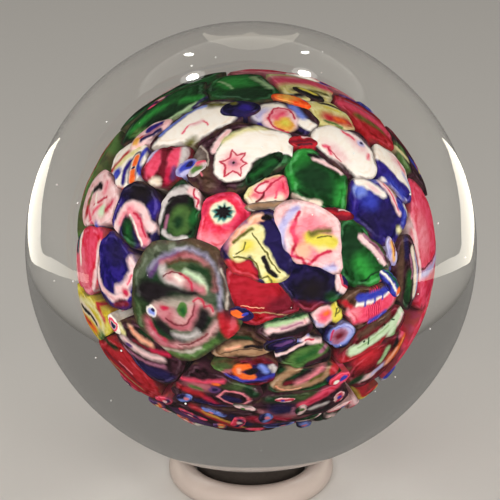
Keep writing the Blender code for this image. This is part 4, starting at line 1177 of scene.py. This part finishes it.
def build_canes():
    """Every cane, rounded and patterned."""
    for index, (name, (base, marks)) in enumerate(CANE_LOOKS.items()):
        direction, crown_radius, floor_radius, edges = cane_shape(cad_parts[name])
        axes = local_frame(direction)
        extra_reach, extra_height = SPREADING.get(name, (0.0, 0.0))
        lift = (index * 7 % 5) * LIFT_STEP + extra_height
        shape = pillow(axes, edge_reach(axes, edges), crown_radius, floor_radius, lift,
                       CANE_MARGIN + extra_reach, CANE_EDGE_DROP, CANE_WANDER)
        piece = cane_piece(name + "_piece", name, axes, crown_radius, shape, base, marks)
        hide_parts(name)


def scattered_chips():
    """Small chips in a spiral over the underside and the rear of the cluster."""
    chips = []
    for index in range(SCATTER_COUNT):
        share = index / (SCATTER_COUNT - 1)
        longitude = (index * SCATTER_TURN) % 360
        low = index % 2 == 0 or abs(longitude - 180) > 75
        latitude = -72 + 28 * share if low else -40 + 95 * share
        half_length = 11 + 2.2 * (index * 3 % 5)
        half_width = 5.5 + 1.2 * (index * 2 % 4)
        turn = (index * 47) % 180
        base, first, second = SCATTER_COLOURS[(index * 3 + index // 8) % len(SCATTER_COLOURS)]
        along = Vector((cos(radians(turn)), sin(radians(turn)))) * half_length * 0.7
        marks = [path([(-along.x, -along.y), (along.y * 0.2, -along.x * 0.2), (along.x, along.y)],
                      half_width * 0.42, first, 0.5),
                 spot(along.x * 0.3, along.y * 0.3, half_width * 0.5, half_width * 0.4, second, 0.4, turn)]
        name = f"chip_scattered_{index:02d}"
        chips.append((name, latitude, longitude, half_length, half_width, turn, base, marks))
    return chips


def build_chips():
    """Small chips of cane that fill the gaps between the large ones."""
    reference = cane_shape(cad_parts["white_star_cane"])
    crown_radius, floor_radius = reference[1:3]
    chips = [(chip, CHIP_LIFT) for chip in CHIPS] + [(chip, SCATTERED_LIFT) for chip in scattered_chips()]
    for (name, latitude, longitude, half_length, half_width, turn, base, marks), lift in chips:
        axes = local_frame(ball_direction(latitude, longitude))
        reach = []
        for step in range(CHIP_POINTS):
            bearing = 2 * pi * step / CHIP_POINTS - pi
            swing = bearing - radians(turn)
            size = 1 / sqrt((cos(swing) / mm(half_length)) ** 2 + (sin(swing) / mm(half_width)) ** 2)
            reach.append((bearing, size * MM / crown_radius))
        shape = pillow(axes, reach, crown_radius, floor_radius, lift, 0.0, CHIP_EDGE_DROP, CHIP_WANDER)
        cane_piece(name, name, axes, crown_radius, shape, base, marks)


def build_core():
    """Smooth core under the canes."""
    profile = []
    for step in range(CORE_STEPS + 1):
        angle = pi / 2 - pi * step / CORE_STEPS
        radius = CORE_RADIUS * cos(angle) if 0 < step < CORE_STEPS else 0.0
        profile.append((radius, CORE_RADIUS * sin(angle)))
    turned_piece("core_piece", profile, 64, core_material(), "weight", ["core_glass"],
                 move=lambda vertex: CLUSTER_CENTRE + vertex * CORE_SWELL)


def build_ball():
    """One lump of clear glass with a ground spot underneath."""
    flat = (BASE_FLAT_HEIGHT - BALL_CENTRE.z) / BALL_RADIUS
    profile = [(0.0, BALL_CENTRE.z + BALL_RADIUS)]
    for step in range(1, BALL_STEPS):
        angle = pi / 2 - pi * step / BALL_STEPS
        if sin(angle) > flat + 0.0005:
            profile.append((BALL_RADIUS * cos(angle), BALL_CENTRE.z + BALL_RADIUS * sin(angle)))
    profile += [(BALL_RADIUS * sqrt(1 - flat ** 2), BASE_FLAT_HEIGHT), (0.0, BASE_FLAT_HEIGHT)]
    turned_piece("clear_ball", profile, 160, clear_glass_material(), "weight",
                 ["crown_glass", "base_glass"], sharp=20)


def build_ring():
    """Display ring: round section with a flat foot, turned smooth."""
    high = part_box("display_ring")[1]
    mean_radius = high.x - RING_SECTION_RADIUS
    centre_height = high.z - RING_SECTION_RADIUS
    foot = sqrt(RING_SECTION_RADIUS ** 2 - centre_height ** 2)
    start = atan2(-centre_height, foot)
    end = pi - start
    section = []
    for step in range(RING_STEPS + 1):
        angle = start + (end - start) * step / RING_STEPS
        section.append((mean_radius + RING_SECTION_RADIUS * cos(angle),
                        centre_height + RING_SECTION_RADIUS * sin(angle)))
    turned_piece("ring_piece", section + [section[0]], 120, ring_material(), "ring",
                 ["display_ring"], sharp=35)


def build_seat():
    """Black seat, its black painted shade: rolled lip, and a dish that follows the ball."""
    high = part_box("seat_insert")[1]
    seat_radius = high.x - SEAT_LIP
    dish_radius = BALL_RADIUS + SEAT_GAP
    profile = []
    for step in range(DISH_STEPS + 1):
        radius = seat_radius * step / DISH_STEPS
        profile.append((radius, BALL_CENTRE.z - sqrt(dish_radius ** 2 - radius ** 2)))
    lip_top = min(profile[-1][1], high.z)
    for step in range(1, LIP_STEPS + 1):
        angle = pi / 2 - pi / 2 * step / LIP_STEPS
        profile.append((seat_radius + SEAT_LIP * cos(angle), lip_top - SEAT_LIP * (1 - sin(angle))))
    profile += [(high.x, SEAT_LIP), (seat_radius, 0.0), (0.0, 0.0)]
    turned_piece("seat_piece", profile, 96, seat_material(), "ring", ["seat_insert"], sharp=35)


def build_bubbles():
    """Seed bubbles trapped just outside the cluster."""
    shell = bmesh.new()
    for index in range(BUBBLE_COUNT):
        longitude = index * BUBBLE_TURN
        height = 0.94 - 1.7 * index / (BUBBLE_COUNT - 1)
        flat = sqrt(1 - height ** 2)
        direction = Vector((flat * cos(longitude), flat * sin(longitude), height))
        distance = (19.6 + 3.0 * (index * 5 % 7) / 7) * MM
        radius = (0.04 + 0.03 * (index * 3 % 4)) * MM
        made = bmesh.ops.create_icosphere(shell, subdivisions=2, radius=radius)
        bmesh.ops.translate(shell, verts=made["verts"], vec=CLUSTER_CENTRE + direction * distance)
    mesh = bpy.data.meshes.new("seed_bubbles")
    shell.to_mesh(mesh)
    shell.free()
    mesh.materials.append(bubble_material())
    mesh.shade_smooth()
    add_object("seed_bubbles", mesh, "weight")


# ---------------------------------------------------------------- surroundings

def build_floor():
    """Pale floor under the ring."""
    half = FLOOR_SIDE / 2
    corners = [(-half, -half, 0.0), (half, -half, 0.0), (half, half, 0.0), (-half, half, 0.0)]
    floor = new_piece("floor", corners, [(0, 1, 2, 3)], floor_material())
    floor.visible_glossy = False


def area_light(name, place, size, power, colour):
    """A soft box that faces the ball and isn't seen through it."""
    lamp = bpy.data.lights.new(name, "AREA")
    lamp.shape = "RECTANGLE"
    lamp.size, lamp.size_y = size
    lamp.energy = power
    lamp.color = colour
    holder = bpy.data.objects.new(name, lamp)
    holder.location = place
    holder.rotation_euler = (Vector(place) - BALL_CENTRE).to_track_quat("Z", "Y").to_euler()
    holder.visible_transmission = False
    bpy.context.scene.collection.objects.link(holder)
    return holder


def build_lights():
    """Plain soft studio light, and small round lamps that only make the highlights on the ball."""
    world = bpy.data.worlds.new("studio")
    world.use_nodes = True
    background = world.node_tree.nodes["Background"]
    background.inputs["Color"].default_value = WORLD_COLOUR
    background.inputs["Strength"].default_value = WORLD_STRENGTH
    bpy.context.scene.world = world
    for box in SOFT_BOXES:
        area_light(*box).visible_glossy = False
    for name, latitude, longitude, size, power in HIGHLIGHTS:
        glint, towards_lamp = mirror_place(latitude, longitude)
        lamp = area_light(name, glint + towards_lamp * HIGHLIGHT_DISTANCE, size, power, WARM_WHITE)
        lamp.data.shape = "ELLIPSE"
        lamp.visible_diffuse = False


def mirror_place(latitude, longitude):
    """Point on the ball, and the direction that it mirrors towards the camera."""
    outward = ball_direction(latitude, longitude)
    glint = BALL_CENTRE + outward * BALL_RADIUS
    sight = (BALL_CENTRE + CAMERA_SIDE * CAMERA_DISTANCE - glint).normalized()
    return glint, 2 * sight.dot(outward) * outward - sight


def build_reflectors():
    """Pale cloth strips at both sides and a panel above, which only show as reflections on the ball."""
    for name, rows, strength in REFLECTORS:
        for side, side_name in ((-1, "left"), (1, "right")):
            vertices = []
            for edge in (0, 1):
                for latitude, longitude in rounded([row[edge] for row in rows]):
                    glint, direction = mirror_place(latitude, longitude * side)
                    vertices.append(glint + direction * REFLECTOR_DISTANCE)
            half = len(vertices) // 2
            faces = [(step, step + 1, half + step + 1, half + step) for step in range(half - 1)]
            strip = new_piece(f"{name}_{side_name}", vertices, faces, reflector_material(name, strength))
            strip.visible_camera = strip.visible_diffuse = False
            strip.visible_transmission = strip.visible_shadow = False


def build_camera():
    """Camera a little above the ball, looking at its middle."""
    camera = bpy.data.cameras.new("camera")
    camera.lens = CAMERA_LENS
    camera.sensor_width = 36.0
    camera.shift_x, camera.shift_y = CAMERA_SHIFT
    camera.clip_start = 0.01
    holder = add_object("camera", camera)
    holder.location = BALL_CENTRE + CAMERA_SIDE * CAMERA_DISTANCE
    holder.rotation_euler = CAMERA_SIDE.to_track_quat("Z", "Y").to_euler()
    bpy.context.scene.camera = holder


build_camera()
build_floor()
build_lights()
build_reflectors()
build_ring()
build_seat()
build_core()
build_canes()
build_chips()
build_ball()
build_bubbles()

bpy.context.scene.view_settings.view_transform = "Standard"
bpy.context.view_layer.update()
